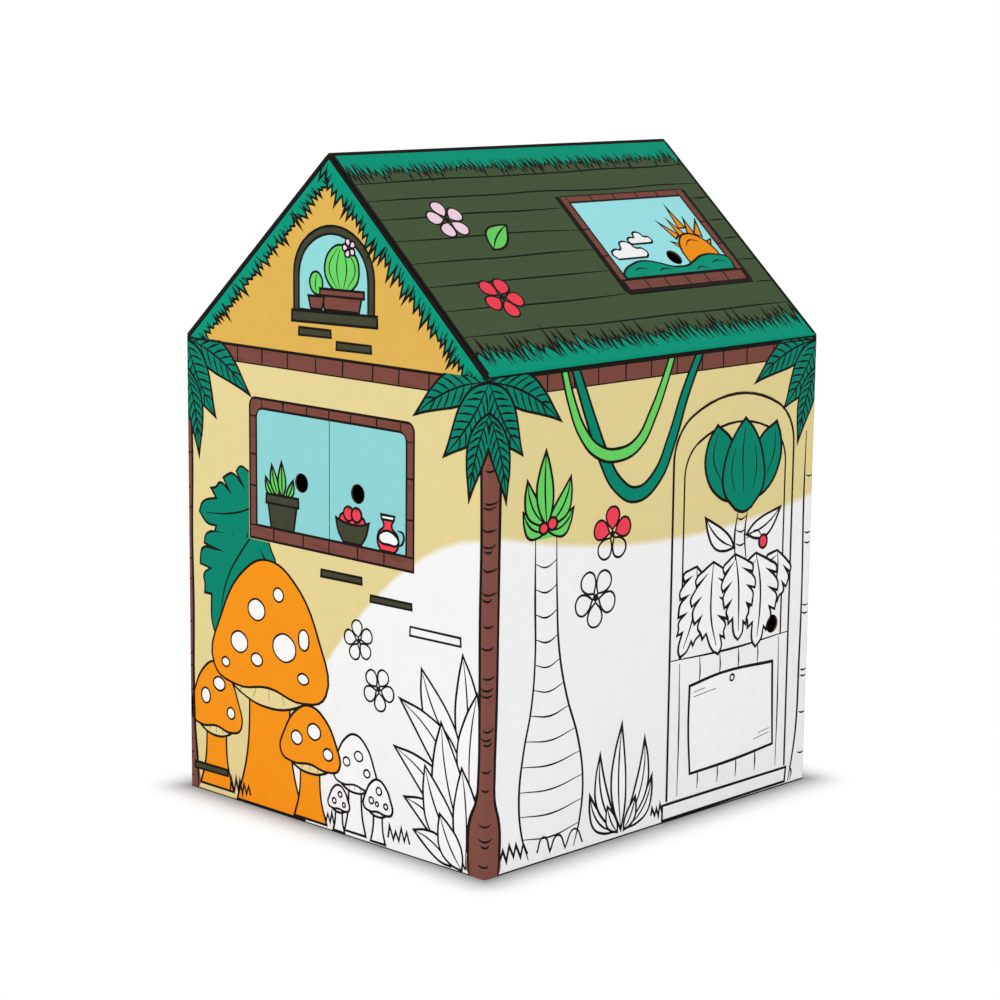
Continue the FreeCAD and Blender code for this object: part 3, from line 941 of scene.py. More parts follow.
class PLAYHOUSE_OT_board(bpy.types.Operator):
    """Give each board its printed side, its brown side and its fluted cut edges"""

    bl_idname = "playhouse.board"
    bl_label = "Boards"

    def execute(self, context):
        shutter_pane = pane_colour(
            "sky", (0, SHUTTER_LOW.x + PANE_RIM, -SHUTTER_LOW.x - PANE_RIM),
            (2, SHUTTER_LOW.z + PANE_RIM, SHUTTER_HIGH.z - PANE_RIM),
            corner=SHUTTER_HIGH.z - SHUTTER_LOW.x - SHUTTER_CURVE, slit=SHUTTER_SLIT,
        )
        hatch_pane = pane_colour(
            "haze", (0, HATCH_LOW.x + PANE_RIM, HATCH_HIGH.x - PANE_RIM),
            (1, HATCH_LOW.y + PANE_RIM, HATCH_HIGH.y - PANE_RIM),
        )
        # The shutters, the hatch and the roof have their bare side and cut edges darkened: painted
        # shade.
        shutter = board_finish("shutter_board", shutter_depth, shutter_pane, painted_edge_shade=0.6)
        hatch = board_finish("hatch_board", slope_depth, hatch_pane, painted_edge_shade=0.6)
        finishes = {
            "walls": board_finish("wall_board", wall_depth, wall_colour, folds_and_painted_shade=painted_eave_shade),
            "roof": board_finish(
                "roof_board", roof_depth, plank_colour, painted_edge_shade=0.12, folds_and_painted_shade=roof_outside
            ),
            "door": board_finish("door_board", door_depth, wall_colour),
            "left_shutter": shutter,
            "right_shutter": shutter,
            "roof_hatch": hatch,
        }
        for node, finish in finishes.items():
            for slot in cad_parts[node].material_slots:
                slot.material = finish
        return {"FINISHED"}


class PLAYHOUSE_OT_bricks(bpy.types.Operator):
    """Print the brick course under the eaves on all four walls"""

    bl_idname = "playhouse.bricks"
    bl_label = "Brick courses"

    def execute(self, context):
        eave = eave_level()
        for seed, (name, width, gap) in enumerate((
            ("front", WIDTH, 4), ("door_side", DEPTH, 0.05), ("rear", WIDTH, 4),
            ("far_side", DEPTH, 0.05),
        )):
            art = Print(name, "bricks", seed)
            art.fill("ink", box_outline(0, eave - 36, width, eave - gap))
            art.above()
            bricks(art, 0, eave - 36, width, eave - gap)
            art.layer = 7
            art.line(sharp((0, eave - 3.5), (width, eave - 3.5)), 0.8)
            art.make()
        return {"FINISHED"}


class PLAYHOUSE_OT_thatch(bpy.types.Operator):
    """Print the thatch along the gables, the ridge and the eaves"""

    bl_idname = "playhouse.thatch"
    bl_label = "Thatch"

    def execute(self, context):
        eave = eave_level()
        roof_half, run = ROOF_HALF / MM, down_slope(ROOF_HALF)
        left, right = WIDTH / 2 - roof_half, WIDTH - (WIDTH / 2 - roof_half)
        apex = (WIDTH / 2, eave + roof_half * math.tan(measures().roof_pitch))
        for seed, name in enumerate(("front", "rear"), 11):
            art = Print(name, "thatch", seed)
            art.face.stop((0, WALL_HIGH.z / MM - 0.05), (0, 1))
            fringe(art, (left, eave), apex, 27, 43, 12)
            fringe(art, apex, (right, eave), 30, 51, 13)
            art.line(sharp((left, eave - 1.5), (apex[0], apex[1] - 1.5), (right, eave - 1.5)), 2.3)
            art.make()
        for seed, name in enumerate(("slope", "far_slope"), 21):
            art = Print(name, "thatch", seed)
            fringe(art, (0, 0), (DEPTH, 0), 48, 68, 11, 0.18, 0.9, 0.75)
            fringe(art, (DEPTH, -run), (0, -run), 36, 68, 14, 0.2, 0.95)
            art.strokes(2.0, *(sharp((x, -2), (x, -run)) for x in (2.5, DEPTH - 2.5)))
            art.make()
        return {"FINISHED"}


class PLAYHOUSE_OT_planks(bpy.types.Operator):
    """Draw the joints of the roof planks, and painted shadow round the hatch: thick along its
    left side and bottom, with a thin dark line down its right
    """

    bl_idname = "playhouse.planks"
    bl_label = "Roof planks"

    def execute(self, context):
        left, right = (HATCH_LOW.y + HALF_DEPTH) / MM - 9, (HATCH_HIGH.y + HALF_DEPTH) / MM + 9
        low, high = -down_slope(HATCH_HIGH.x) - 3, -down_slope(HATCH_LOW.x) + 6
        for seed, name in enumerate(("slope", "far_slope"), 31):
            art = Print(name, "planks", seed)
            hand = art.hand
            for down in (80, 122, 168, 219, 275, 330, 386, 447):
                tilt = hand.uniform(-0.006, 0.012)
                stretches = [(2, DEPTH - 2)]
                if name == "slope" and 130 < down < 400:
                    stretches = [(2, left), (right, DEPTH - 2)]
                for start, end in stretches:
                    count = max(2, round((end - start) / 110))
                    xs = [start + (end - start) * k / count for k in range(count + 1)]
                    art.line([(x, -down - tilt * x + hand.uniform(-2, 2)) for x in xs], 0.8)
            if name == "slope":
                # Painted shadow of the hatch's gap: thick along its left side and bottom; then a
                # thin dark line down its right side.
                edge = ((left + 5, high - 9), (left + 5.5, low + 8), (left + 12, low))
                art.line(sharp(*edge, (right - 8, low + 1)), 2.0)
                art.line(sharp((right - 6, low + 4), (right - 6, high - 12)), 0.9)
            art.make()
        return {"FINISHED"}


class PLAYHOUSE_OT_trunks(bpy.types.Operator):
    """Print the tree trunks that wrap round the corners of the house"""

    bl_idname = "playhouse.trunks"
    bl_label = "Corner trunks"

    def execute(self, context):
        eave = eave_level()
        for name, corner, side, _, layer, profile, seed in CORNERS:
            if profile:
                art = Print(name, f"trunk_{WHERE[side]}", seed)
                art.layer = layer
                trunk(art, corner, side, TRUNKS[profile], eave - 12)
                art.make()
        art = Print("door_side", "trunk_right", 49, 1.2)
        art.line([
            (875, 700), (873, 560), (876, 400), (874, 240), (870, 110), (860, 50), (850, 6),
        ], 1.0)
        for height in (612, 500, 480, 356, 340, 226, 214, 140, 58):
            art.line([(DEPTH - 1, height), (887, height - 2), (878, height + 1)], 0.7)
        art.make()
        return {"FINISHED"}


class PLAYHOUSE_OT_palms(bpy.types.Operator):
    """Print the palm fronds at the top of every corner"""

    bl_idname = "playhouse.palms"
    bl_label = "Palm fronds"

    def execute(self, context):
        eave = eave_level()
        for seed, (name, corner, side, tips, layer, *_) in enumerate(CORNERS, 51):
            art = Print(name, f"palm_{WHERE[side]}", seed)
            art.face.stop((0, eave - 0.3), (0, 1))
            art.layer = layer + 1
            palm(art, corner, eave - 10, side, PALMS[tips])
            art.make()
        return {"FINISHED"}


class PLAYHOUSE_OT_gable_windows(bpy.types.Operator):
    """Print the arched window in each gable, with a potted cactus on its sill"""

    bl_idname = "playhouse.gable_windows"
    bl_label = "Gable windows"

    def execute(self, context):
        tall_cactus = (
            (428, 996), (396, 1014), (389, 1042), (407, 1072), (437, 1080), (466, 1066),
            (478, 1036), (467, 1008),
        )
        small_cactus = (
            (366, 988), (352, 998), (350, 1016), (362, 1028), (378, 1022), (383, 1004), (379, 990),
        )
        pots = (
            ((388, 962), (478, 963), (486, 992), (381, 990)),
            ((376, 987), (491, 989), (491, 1001), (376, 999)),
            ((352, 961), (381, 962), (388, 985), (345, 984)),
        )
        for seed, name in enumerate(("front", "rear"), 61):
            art = Print(name, "gable_window", seed)
            art.shape("moss", arch_outline(306, 517, 955, 1020, 84, 116))
            art.shape("sky", arch_outline(320, 501, 958, 1018, 74, 99))
            art.shape("moss", sharp((300, 935), (525, 941), (524, 961), (301, 955)))
            art.shape("leaf", tall_cactus)
            for out, bend in ((-24, -9), (-9, -4), (9, 4), (25, 10)):
                rib = [(433 + out * 0.55, 1003), (433 + out + bend, 1038), (433 + out * 0.5, 1073)]
                art.line(rib, 0.65)
            art.shape("leaf", small_cactus)
            art.line([(366, 990), (364, 1008), (367, 1024)], 0.6)
            blossom(art, 452, 1076, 17, 0.6, "pink", heart="red")
            for pot in pots:
                art.shape("brick", sharp(*pot))
            dash(art, 319, 911, 405, 926, "moss")
            dash(art, 419, 893, 510, 908, "moss")
            art.make()
        return {"FINISHED"}


def shutter_frame(art, at, inner):
    """Brick frame of one shutter, round the pane that the board itself shows. at(x) mirrors it."""
    low, high = SHUTTER_LOW.z / MM + 1.5, SHUTTER_HIGH.z / MM - 1.5
    outer, joint = 181.5, 2.7
    art.fill("ink", [(at(x), *place) for x, *place in (
        (inner, high, 1), (outer + 17, high, 1), (outer + 5, high - 5), (outer, high - 17, 1),
        (outer, low, 1), (inner, low, 1), (inner, low + 28, 1), (outer + 21, low + 28, 1),
        (outer + 21, high - 34, 1), (outer + 25, high - 25), (outer + 34, high - 21, 1),
        (inner, high - 21, 1),
    )])
    art.above()
    for start, end, base, top in (
        (outer + 34, inner, high - 19, high), (outer, outer + 19, low + 25, high - 34),
        (outer, inner, low, low + 26),
    ):
        left, right = sorted((at(start), at(end)))
        bricks(art, left, base, right, top, 3)
    art.fill("brick", [(at(outer + x), *place) for x, *place in (
        (joint, high - 33, 1), (joint, high - 17, 1), (6, high - 6), (17, high - joint, 1),
        (33, high - joint, 1), (33, high - 19 + joint, 1), (23, high - 23),
        (19 - joint, high - 33, 1),
    )])


class PLAYHOUSE_OT_shutters(bpy.types.Operator):
    """Print the brick frame, and the plant pot, fruit bowl and jug on the two shutters"""

    bl_idname = "playhouse.shutters"
    bl_label = "Shutters"

    def execute(self, context):
        middle, sill = WIDTH / 2, SHUTTER_LOW.z / MM + 27
        art = Print("front", "shutter", 71, flap="left_shutter")
        shutter_frame(art, lambda x: x, middle - 1.2)
        leaves(
            art, "leaf",
            ((250, sill + 60), (226, sill + 94), 17, 0.1),
            ((262, sill + 60), (243, sill + 118), 20, 0.06),
            ((284, sill + 60), (302, sill + 96), 17, -0.08),
            ((272, sill + 60), (270, sill + 126), 21, 0.0),
        )
        art.shape("moss", sharp((241, sill), (303, sill), (312, sill + 50), (232, sill + 50)))
        rim = sharp((227, sill + 46), (317, sill + 47), (316, sill + 64), (228, sill + 63))
        art.shape("moss", rim)
        art.make()
        art = Print("front", "shutter", 72, flap="right_shutter")
        shutter_frame(art, lambda x: WIDTH - x, middle + 1.2)
        for x, y in ((440, 588), (462, 592), (482, 586), (451, 601), (472, 601)):
            art.shape("red", disc(x, y, 13))
            art.line([(x - 1, y + 5), (x + 1, y + 12)], 0.8)
        art.shape("moss", [
            (418, 590, 1), (424, 566), (438, 548, 1), (484, 548, 1), (497, 566), (504, 590, 1),
            (484, 584), (440, 584),
        ])
        art.shape("red", [
            (535, 547, 1), (527, 562), (530, 580), (543, 592), (541, 606), (565, 606), (563, 592),
            (578, 578), (580, 560), (571, 547, 1),
        ])
        art.shape("white", [(531, 566), (534, 578), (575, 577), (579, 564), (556, 560)])
        art.line([(578, 588), (592, 584), (590, 566), (579, 560)], 1.0)
        art.shape("white", sharp((538, 604), (568, 604), (570, 612), (536, 612)))
        art.make()
        return {"FINISHED"}


class PLAYHOUSE_OT_broad_leaves(bpy.types.Operator):
    """Print the broad torn leaves beside the window"""

    bl_idname = "playhouse.broad_leaves"
    bl_label = "Broad leaves"

    def execute(self, context):
        art = Print("front", "broad_leaves", 81)
        art.face.stop((178.6, 600), (1, 0))
        torn_leaf(art, "pine", (236, 610), (34, 548), 150, 0.1, 4, 0.34)
        art.make()
        art = Print("front", "low_leaf", 82)
        art.face.stop((300, 516.4), (0, 1))
        art.layer = 3
        torn_leaf(art, "pine", (214, 548), (88, 304), 178, -0.12, 5, 0.34)
        art.make()
        for seed, (name, x) in enumerate((("rear", 640), ("far_side", 300)), 83):
            art = Print(name, "broad_leaves", seed)
            torn_leaf(art, "pine", (x, 470), (x - 120, 700), 150, 0.08, 5, 0.3)
            torn_leaf(art, "pine", (x + 10, 470), (x + 110, 640), 110, -0.1, 4, 0.3)
            art.make()
        return {"FINISHED"}


# Place across, foot, top, cap, stalk and colour of each toadstool, with its spots.
SMALL_SPOTS = ((-22, 38, 9, 8), (10, 54, 11, 9), (32, 26, 8, 7))
TOADSTOOLS = (
    ("front", "toadstools", (
        (78, 14, 262, 146, 76, "orange", ((-30, 52, 13, 15), (10, 82, 17, 13), (44, 30, 11, 11))),
        (232, 4, 482, 316, 150, "orange", (
            (-84, 70, 24, 20), (-34, 140, 24, 20), (44, 80, 32, 26), (98, 104, 14, 20),
            (96, 30, 15, 10), (-34, 44, 16, 12), (-124, 24, 11, 9), (28, 178, 14, 13),
        )),
        (346, 8, 226, 160, 70, "orange", ((-36, 42, 15, 13), (12, 62, 18, 15), (50, 26, 13, 11))),
    )),
    ("front", "small_toadstools", (
        (468, 10, 196, 112, 44, "white", SMALL_SPOTS),
        (529, 6, 124, 74, 30, "white", (
            (-17, 17, 6, 6), (3, 38, 7, 7), (21, 13, 5, 5), (-2, 13, 4, 4),
        )),
        (425, 4, 92, 56, 24, "white", ((-12, 12, 5, 5), (4, 27, 5, 5), (14, 9, 4, 4))),
    )),
    ("rear", "toadstools", (
        (566, 4, 402, 250, 118, "orange", (
            (-66, 60, 20, 17), (-24, 118, 19, 16), (36, 66, 26, 22), (74, 100, 12, 15),
            (-4, 30, 13, 10),
        )),
        (664, 8, 232, 142, 62, "orange", ((-32, 38, 13, 12), (12, 62, 16, 13), (44, 24, 11, 10))),
        (440, 8, 190, 112, 44, "white", SMALL_SPOTS),
        (374, 4, 112, 68, 28, "white", (
            (-15, 15, 6, 6), (3, 34, 7, 7), (19, 12, 5, 5), (-2, 11, 4, 4),
        )),
    )),
)


class PLAYHOUSE_OT_toadstools(bpy.types.Operator):
    """Print the big orange toadstools, and the small uncoloured ones beside them"""

    bl_idname = "playhouse.toadstools"
    bl_label = "Toadstools"

    def execute(self, context):
        for seed, (name, what, rows) in enumerate(TOADSTOOLS, 91):
            art = Print(name, what, seed)
            for row in rows:
                toadstool(art, *row)
            if (name, what) == ("front", "toadstools"):
                dash(art, 14, 40, 112, 54, "moss")
                grass(art, 118, 178, 18, 5, 24)
            art.make()
        return {"FINISHED"}


# Base, tip, width and bow of each leaf.
ROSETTES = {
    "front": (
        ((752, 190), (742, 392), 62, -0.04), ((742, 200), (640, 350), 64, 0.08),
        ((748, 120), (586, 286), 66, -0.1), ((764, 120), (778, 330), 60, 0.05),
        ((735, 60), (572, 196), 62, -0.1), ((750, 50), (690, 262), 78, 0.06),
        ((728, 26), (598, 108), 56, -0.12), ((744, 20), (650, 176), 68, 0.08),
        ((752, 10), (742, 190), 66, -0.04), ((716, 6), (622, 52), 40, -0.1),
        ((744, 4), (688, 96), 52, 0.06),
    ),
    "rear": (
        ((150, 120), (60, 290), 70, 0.1), ((160, 120), (170, 350), 76, 0.0),
        ((170, 110), (280, 280), 72, -0.1), ((140, 40), (34, 170), 64, 0.1),
        ((180, 40), (300, 150), 64, -0.1), ((160, 20), (110, 190), 70, 0.06),
        ((168, 20), (216, 196), 70, -0.06), ((160, 6), (162, 120), 60, 0.0),
    ),
}


class PLAYHOUSE_OT_rosettes(bpy.types.Operator):
    """Draw the uncoloured plants with pointed leaves"""

    bl_idname = "playhouse.rosettes"
    bl_label = "Leaf rosettes"

    def execute(self, context):
        for seed, (name, rows) in enumerate(ROSETTES.items(), 101):
            art = Print(name, "rosette", seed)
            leaves(art, "white", *rows)
            art.make()
        return {"FINISHED"}


class PLAYHOUSE_OT_blossoms(bpy.types.Operator):
    """Print the loose blossoms on the walls and the roof"""

    bl_idname = "playhouse.blossoms"
    bl_label = "Blossoms"

    def execute(self, context):
        for seed, (name, pen, rows, green) in enumerate((
            ("front", 1.0, ((478, 372, 38, 0.5), (530, 292, 40, 1.1)), ()),
            ("door_side", 1.15, ((318, 572, 50, 0.3, "red", 562), (276, 462, 54, 0.9)), ()),
            ("slope", 1.0, ((163, -178, 45, 0.4, "pink"), (160, -366, 47, 1.0, "red")),
             ((222, -256), (296, -200))),
            ("far_slope", 1.0, ((640, -196, 45, 0.8, "pink"), (250, -330, 47, 0.2, "red")),
             ((380, -220), (450, -176))),
        ), 111):
            art = Print(name, "blossoms", seed, pen)
            for row in rows:
                blossom(art, *row)
            if green:
                pointed_leaf(art, "leaf", *green, 44, 0.06)
            art.make()
        return {"FINISHED"}


class PLAYHOUSE_OT_vines(bpy.types.Operator):
    """Print the vines that hang from the eaves in loops"""

    bl_idname = "playhouse.vines"
    bl_label = "Hanging vines"

    def execute(self, context):
        low_loop = (
            (206, 896), (232, 838), (262, 772), (290, 716), (330, 660), (382, 636), (436, 662),
            (476, 728), (510, 806), (560, 896),
        )
        light_loop = (
            (180, 896), (206, 818), (236, 762), (276, 726), (330, 714), (384, 730), (424, 782),
            (448, 826), (480, 896),
        )
        for seed, (name, shift) in enumerate((("door_side", 0), ("far_side", 130)), 121):
            art = Print(name, "vines", seed)
            art.face.shift(shift)
            art.face.stop((0, eave_level() - 3), (0, 1))
            art.layer = 2
            art.shape("pine", ribbon(low_loop, 27), 1.1)
            art.shape("leaf", ribbon(light_loop, 23), 1.1)
            art.make()
        return {"FINISHED"}


class PLAYHOUSE_OT_bottle_palm(bpy.types.Operator):
    """Print the tall bottle palm: a coloured crown on a stem that is left for colouring in"""

    bl_idname = "playhouse.bottle_palm"
    bl_label = "Bottle palm"

    def execute(self, context):
        left_side = (
            (118, 590), (119, 480), (121, 380), (113, 290), (94, 210), (84, 130), (92, 60),
            (110, 12),
        )
        right_side = (
            (172, 588), (175, 480), (183, 380), (204, 295), (236, 210), (250, 130), (243, 60),
            (228, 12),
        )
        rings = (
            (545, 119, 174), (500, 120, 175), (455, 120, 177), (410, 122, 181), (365, 120, 186),
            (320, 117, 197), (275, 110, 211), (230, 100, 228), (185, 90, 241), (140, 85, 249),
            (95, 87, 248), (52, 95, 242),
        )
        tufts = [(132, 20, 1), (148, 46), (166, 16, 1), (186, 42), (206, 14, 1), (230, 44)]
        for seed, (name, shift) in enumerate((("door_side", 0), ("far_side", 430)), 131):
            art = Print(name, "bottle_palm", seed, 1.05)
            art.face.shift(shift)
            art.strokes(1.05, left_side, right_side)
            for height, left, right in rings:
                middle = ((left + right) / 2, height - 9)
                art.line([(left, height), middle, (right, height + 2)], 0.75)
            art.line([*tufts, (252, 14, 1)], 0.85)
            leaves(
                art, "white",
                ((338, 14), (270, 96), 30, 0.16), ((372, 14), (440, 100), 30, -0.16),
                ((344, 16), (296, 168), 34, 0.12), ((368, 16), (418, 176), 34, -0.12),
                ((356, 14), (354, 214), 40, 0.04), ((346, 12), (318, 66), 26, 0.08),
                ((364, 12), (394, 70), 26, -0.08),
            )
            art.above()
            art.fill("leaf", sharp((120, 588), (171, 588), (168, 622), (124, 622)))
            art.line([(120, 588), (121, 606), (126, 624)], 1.0)
            art.line([(171, 588), (170, 606), (166, 624)], 1.0)
            leaves(
                art, "leaf",
                ((146, 600), (86, 640), 34, 0.2), ((146, 602), (214, 634), 34, -0.2),
                ((146, 610), (96, 694), 36, 0.14), ((148, 610), (206, 690), 36, -0.14),
                ((146, 608), (142, 742), 42, 0.03),
            )
            art.shape("red", disc(160, 612, 12, 11))
            art.shape("red", disc(138, 606, 11, 10))
            art.make()
        return {"FINISHED"}


class PLAYHOUSE_OT_door(bpy.types.Operator):
    """Draw the door: its arches, planks, notice board, leaves and the big bud; and its sill"""

    bl_idname = "playhouse.door"
    bl_label = "Door"

    def execute(self, context):
        left, right = ((edge.y + HALF_DEPTH) / MM for edge in (DOOR_LOW, DOOR_HIGH))
        base, rail = DOOR_LOW.z / MM, 308
        art = Print("door_side", "door", 141, 1.12, flap="door")
        outer = arch_outline(left + 2.8, right - 2.8, base + 2, 680, 92.2, 278.2)
        inner = arch_outline(left + 34, right - 27, rail, 648, 72, 236)
        art.line(outer[1:] + outer[:1], 1.0)
        art.line(inner[1:] + inner[:1], 0.9)
        art.line([(left + 4, rail + 1), (660, rail - 4), (right - 4, rail + 2)], 0.9)
        for x, low, high in (
            (513, 45, rail - 8), (571, 48, 88), (630, 48, 88), (685, 48, 92), (743, 48, 94),
            (808, 45, rail - 4), (571, 250, rail - 4), (743, 262, rail - 4), (630, 256, rail - 6),
            (685, 258, rail - 6),
        ):
            art.line([(x, low), (x + 1.5, (low + high) / 2), (x - 0.5, high)], 0.8)
        art.shape("white", [
            (543, 252, 1), (640, 262), (790, 258, 1), (793, 180), (797, 92, 1), (680, 84),
            (549, 81, 1), (542, 170),
        ], 1.15)
        art.line(disc(668, 247, 6), 0.8, closed=True)
        art.strokes(
            0.7, [(556, 238), (588, 241)], [(556, 229), (620, 234)], [(738, 112), (786, 118)],
            [(752, 122), (786, 126)],
        )
        for row in (
            ((796, 476), (772, 366), 78, 0.1, 3), ((556, 478), (512, 312), 92, 0.1, 4),
            ((730, 480), (736, 296), 104, 0.08, 4), ((604, 480), (624, 300), 104, -0.08, 4),
            ((668, 486), (682, 318), 92, 0.04, 4),
        ):
            torn_leaf(art, "white", *row, 0.36)
        art.above()
        art.strokes(1.0, [(672, 566), (664, 520), (668, 474)], [(700, 566), (694, 520), (700, 472)])
        leaves(
            art, "white", ((664, 500), (578, 566), 40, 0.1), ((700, 520), (800, 560), 40, -0.1),
        )
        for height in (506, 532, 556):
            art.line([(668, height), (683, height - 5), (697, height)], 0.7)
        for petal in (
            [(672, 586, 1), (618, 600), (576, 650), (580, 706), (606, 738, 1), (650, 704),
             (676, 640), (684, 590, 1)],
            [(700, 586, 1), (752, 598), (792, 646), (796, 694), (782, 728, 1), (736, 704),
             (704, 648), (692, 592, 1)],
            [(664, 572, 1), (628, 612), (632, 672), (660, 718), (688, 744, 1), (718, 716),
             (742, 668), (746, 610), (712, 572, 1), (688, 565)],
        ):
            art.shape("pine", petal, 1.1)
        art.line([(688, 728), (682, 676), (688, 600)], 0.75)
        art.strokes(
            0.65, [(660, 690), (650, 650), (660, 606)], [(718, 690), (724, 650), (716, 606)],
            [(606, 722), (596, 676), (622, 628)], [(778, 712), (776, 670), (756, 630)],
        )
        art.line([(700, 512), (730, 524), (748, 508)], 0.8)
        art.shape("red", disc(750, 500, 12, 13))
        art.make()
        sill = Print("door_side", "sill", 142, 1.12)
        sill.line(sharp((472, 5), (839, 7), (842, 35.5), (472, 34.5)), 1.0, closed=True)
        sill.line([(853, 36), (860, 24), (856, 6)], 0.8)
        sill.make()
        return {"FINISHED"}


class PLAYHOUSE_OT_hatch(bpy.types.Operator):
    """Print the roof hatch: brick frame, sky, half sun, clouds and a hill"""

    bl_idname = "playhouse.hatch"
    bl_label = "Roof hatch"

    def execute(self, context):
        art = Print("slope", "hatch", 151, flap="roof_hatch")
        art.face.limits = ()
        foot = 149 - down_slope(ROOF_HALF)
        left, right = (HATCH_LOW.y + HALF_DEPTH) / MM + 1.6, (HATCH_HIGH.y + HALF_DEPTH) / MM - 1.6
        low, high = foot + 1.6, foot + down_slope(HATCH_HIGH.x - HATCH_LOW.x) - 2.2
        art.fill("ink", [
            (left, low + 8, 1), (left + 2.4, low + 2.4), (left + 8, low, 1), (right - 8, low, 1),
            (right - 2.4, low + 2.4), (right, low + 8, 1), (right, high - 8, 1),
            (right - 2.4, high - 2.4), (right - 8, high, 1), (left + 8, high, 1),
            (left + 2.4, high - 2.4), (left, high - 8, 1),
        ])
        pane_left, pane_low, pane_right = left + 21, low + 29, right - 21
        art.fill("ink", box_outline(pane_left, pane_low, pane_right, high - 20))
        art.above()
        bricks(art, left + 19, high - 18, right - 19, high, 5)
        bricks(art, left + 7, low, right - 7, low + 27, 6)
        bricks(art, left, low + 27, left + 19, high - 20, 3)
        bricks(art, right - 19, low + 27, right, high - 20, 3)
        for edge, side in ((left, 1), (right, -1)):
            art.fill("brick", [(edge + side * out, high - down, *corner) for out, down, *corner in (
                (2.2, 22, 1), (2.2, 9, 1), (4, 4), (9, 2.2, 1), (19, 2.2, 1), (16.8, 22, 1),
            )])
        x, y = sun = (752, -312)
        art.above()
        for number in range(7):
            turn = math.radians(22 + 136 * number / 6)
            reach = 128 if number % 2 else 104
            tip = (x + reach * 0.6 * math.cos(turn), y + reach * math.sin(turn))
            place = leaf_axes(sun, tip, 24)
            ray = [place(0.56, 0.8, 1), place(1, 0, 1), place(0.56, -0.8, 1)]
            art.fill("orange", ray)
            art.line(ray, 0.8, closed=True)
        art.shape("orange", [
            (x - 49, y - 18, 1), (x - 46, y + 20), (x - 26, y + 48), (x, y + 57), (x + 26, y + 48),
            (x + 46, y + 20), (x + 49, y - 18, 1),
        ])
        art.line([(x - 26, y + 26), (x - 6, y + 40), (x + 18, y + 36)], 0.7)
        cloud = (
            (-46, -14, 1), (-54, 2), (-36, 14), (-22, 12), (-8, 32), (18, 28), (26, 14), (46, 10),
            (52, -4), (42, -14, 1),
        )
        for x, y, size in ((612, -262, 0.62), (560, -292, 0.9)):
            puffs = [(x + out * size, y + up * size, *corner) for out, up, *corner in cloud]
            art.shape("white", puffs)
        art.shape("teal", [
            (pane_left, pane_low, 1), (pane_right, pane_low, 1), (819, -324), (796, -314),
            (752, -312), (712, -326), (690, -334), (670, -335), (648, -333), (612, -320),
            (574, -313), (540, -320), (516, -330), (pane_left, pane_low + 12, 1),
        ])
        for x, y in ((556, -334), (620, -340), (724, -344), (780, -332)):
            art.line([(x - 18, y - 2), (x, y + 4), (x + 22, y - 1)], 0.8)
        art.make()
        return {"FINISHED"}


class PLAYHOUSE_OT_ground(bpy.types.Operator):
    """Draw the grass along the floor and the dashes on the plaster, and painted contact shadow:
    a dark line along the foot of the front and of the door's side
    """

    bl_idname = "playhouse.ground"
    bl_label = "Grass and dashes"

    def execute(self, context):
        art = Print("front", "ground", 161)
        dash(art, 377, 475, 486, 489, "moss")
        dash(art, 508, 449, 615, 462, "moss")
        dash(art, 610, 405, 737, 422)
        grass(art, 380, 412, 14, 3, 20)
        # Painted contact shadow: a dark line along the foot of the wall.
        art.line(sharp((2, 1.2), (WIDTH - 2, 1.2)), 0.5)
        grass(art, 556, 612, 22, 4, 24)
        art.make()
        art = Print("door_side", "ground", 162, 1.2)
        grass(art, 36, 108, 24, 4, 28)
        grass(art, 440, 472, 20, 3, 18)
        # Painted contact shadow: a dark line along the foot of the wall.
        art.line(sharp((2, 1.4), (DEPTH - 2, 1.4)), 0.6)
        art.make()
        for seed, (name, dashes, tufts, flowers) in enumerate((
            ("rear", ((300, 500), (410, 478), (300, 700), (560, 746)),
             ((300, 345, 26, 4, 22), (700, 752, 22, 4, 24)), ()),
            ("far_side", ((700, 668), (608, 574), (52, 700)),
             ((60, 250, 26, 11, 26), (420, 520, 24, 6, 24)),
             ((410, 408, 50, 0.3, "red", 398), (300, 250, 52, 0.8))),
        ), 163):
            art = Print(name, "ground", seed)
            for left, low in dashes:
                dash(art, left, low, left + 104, low + 13, "moss")
            for row in tufts:
                grass(art, *row)
            for row in flowers:
                blossom(art, *row)
            art.make()
        return {"FINISHED"}


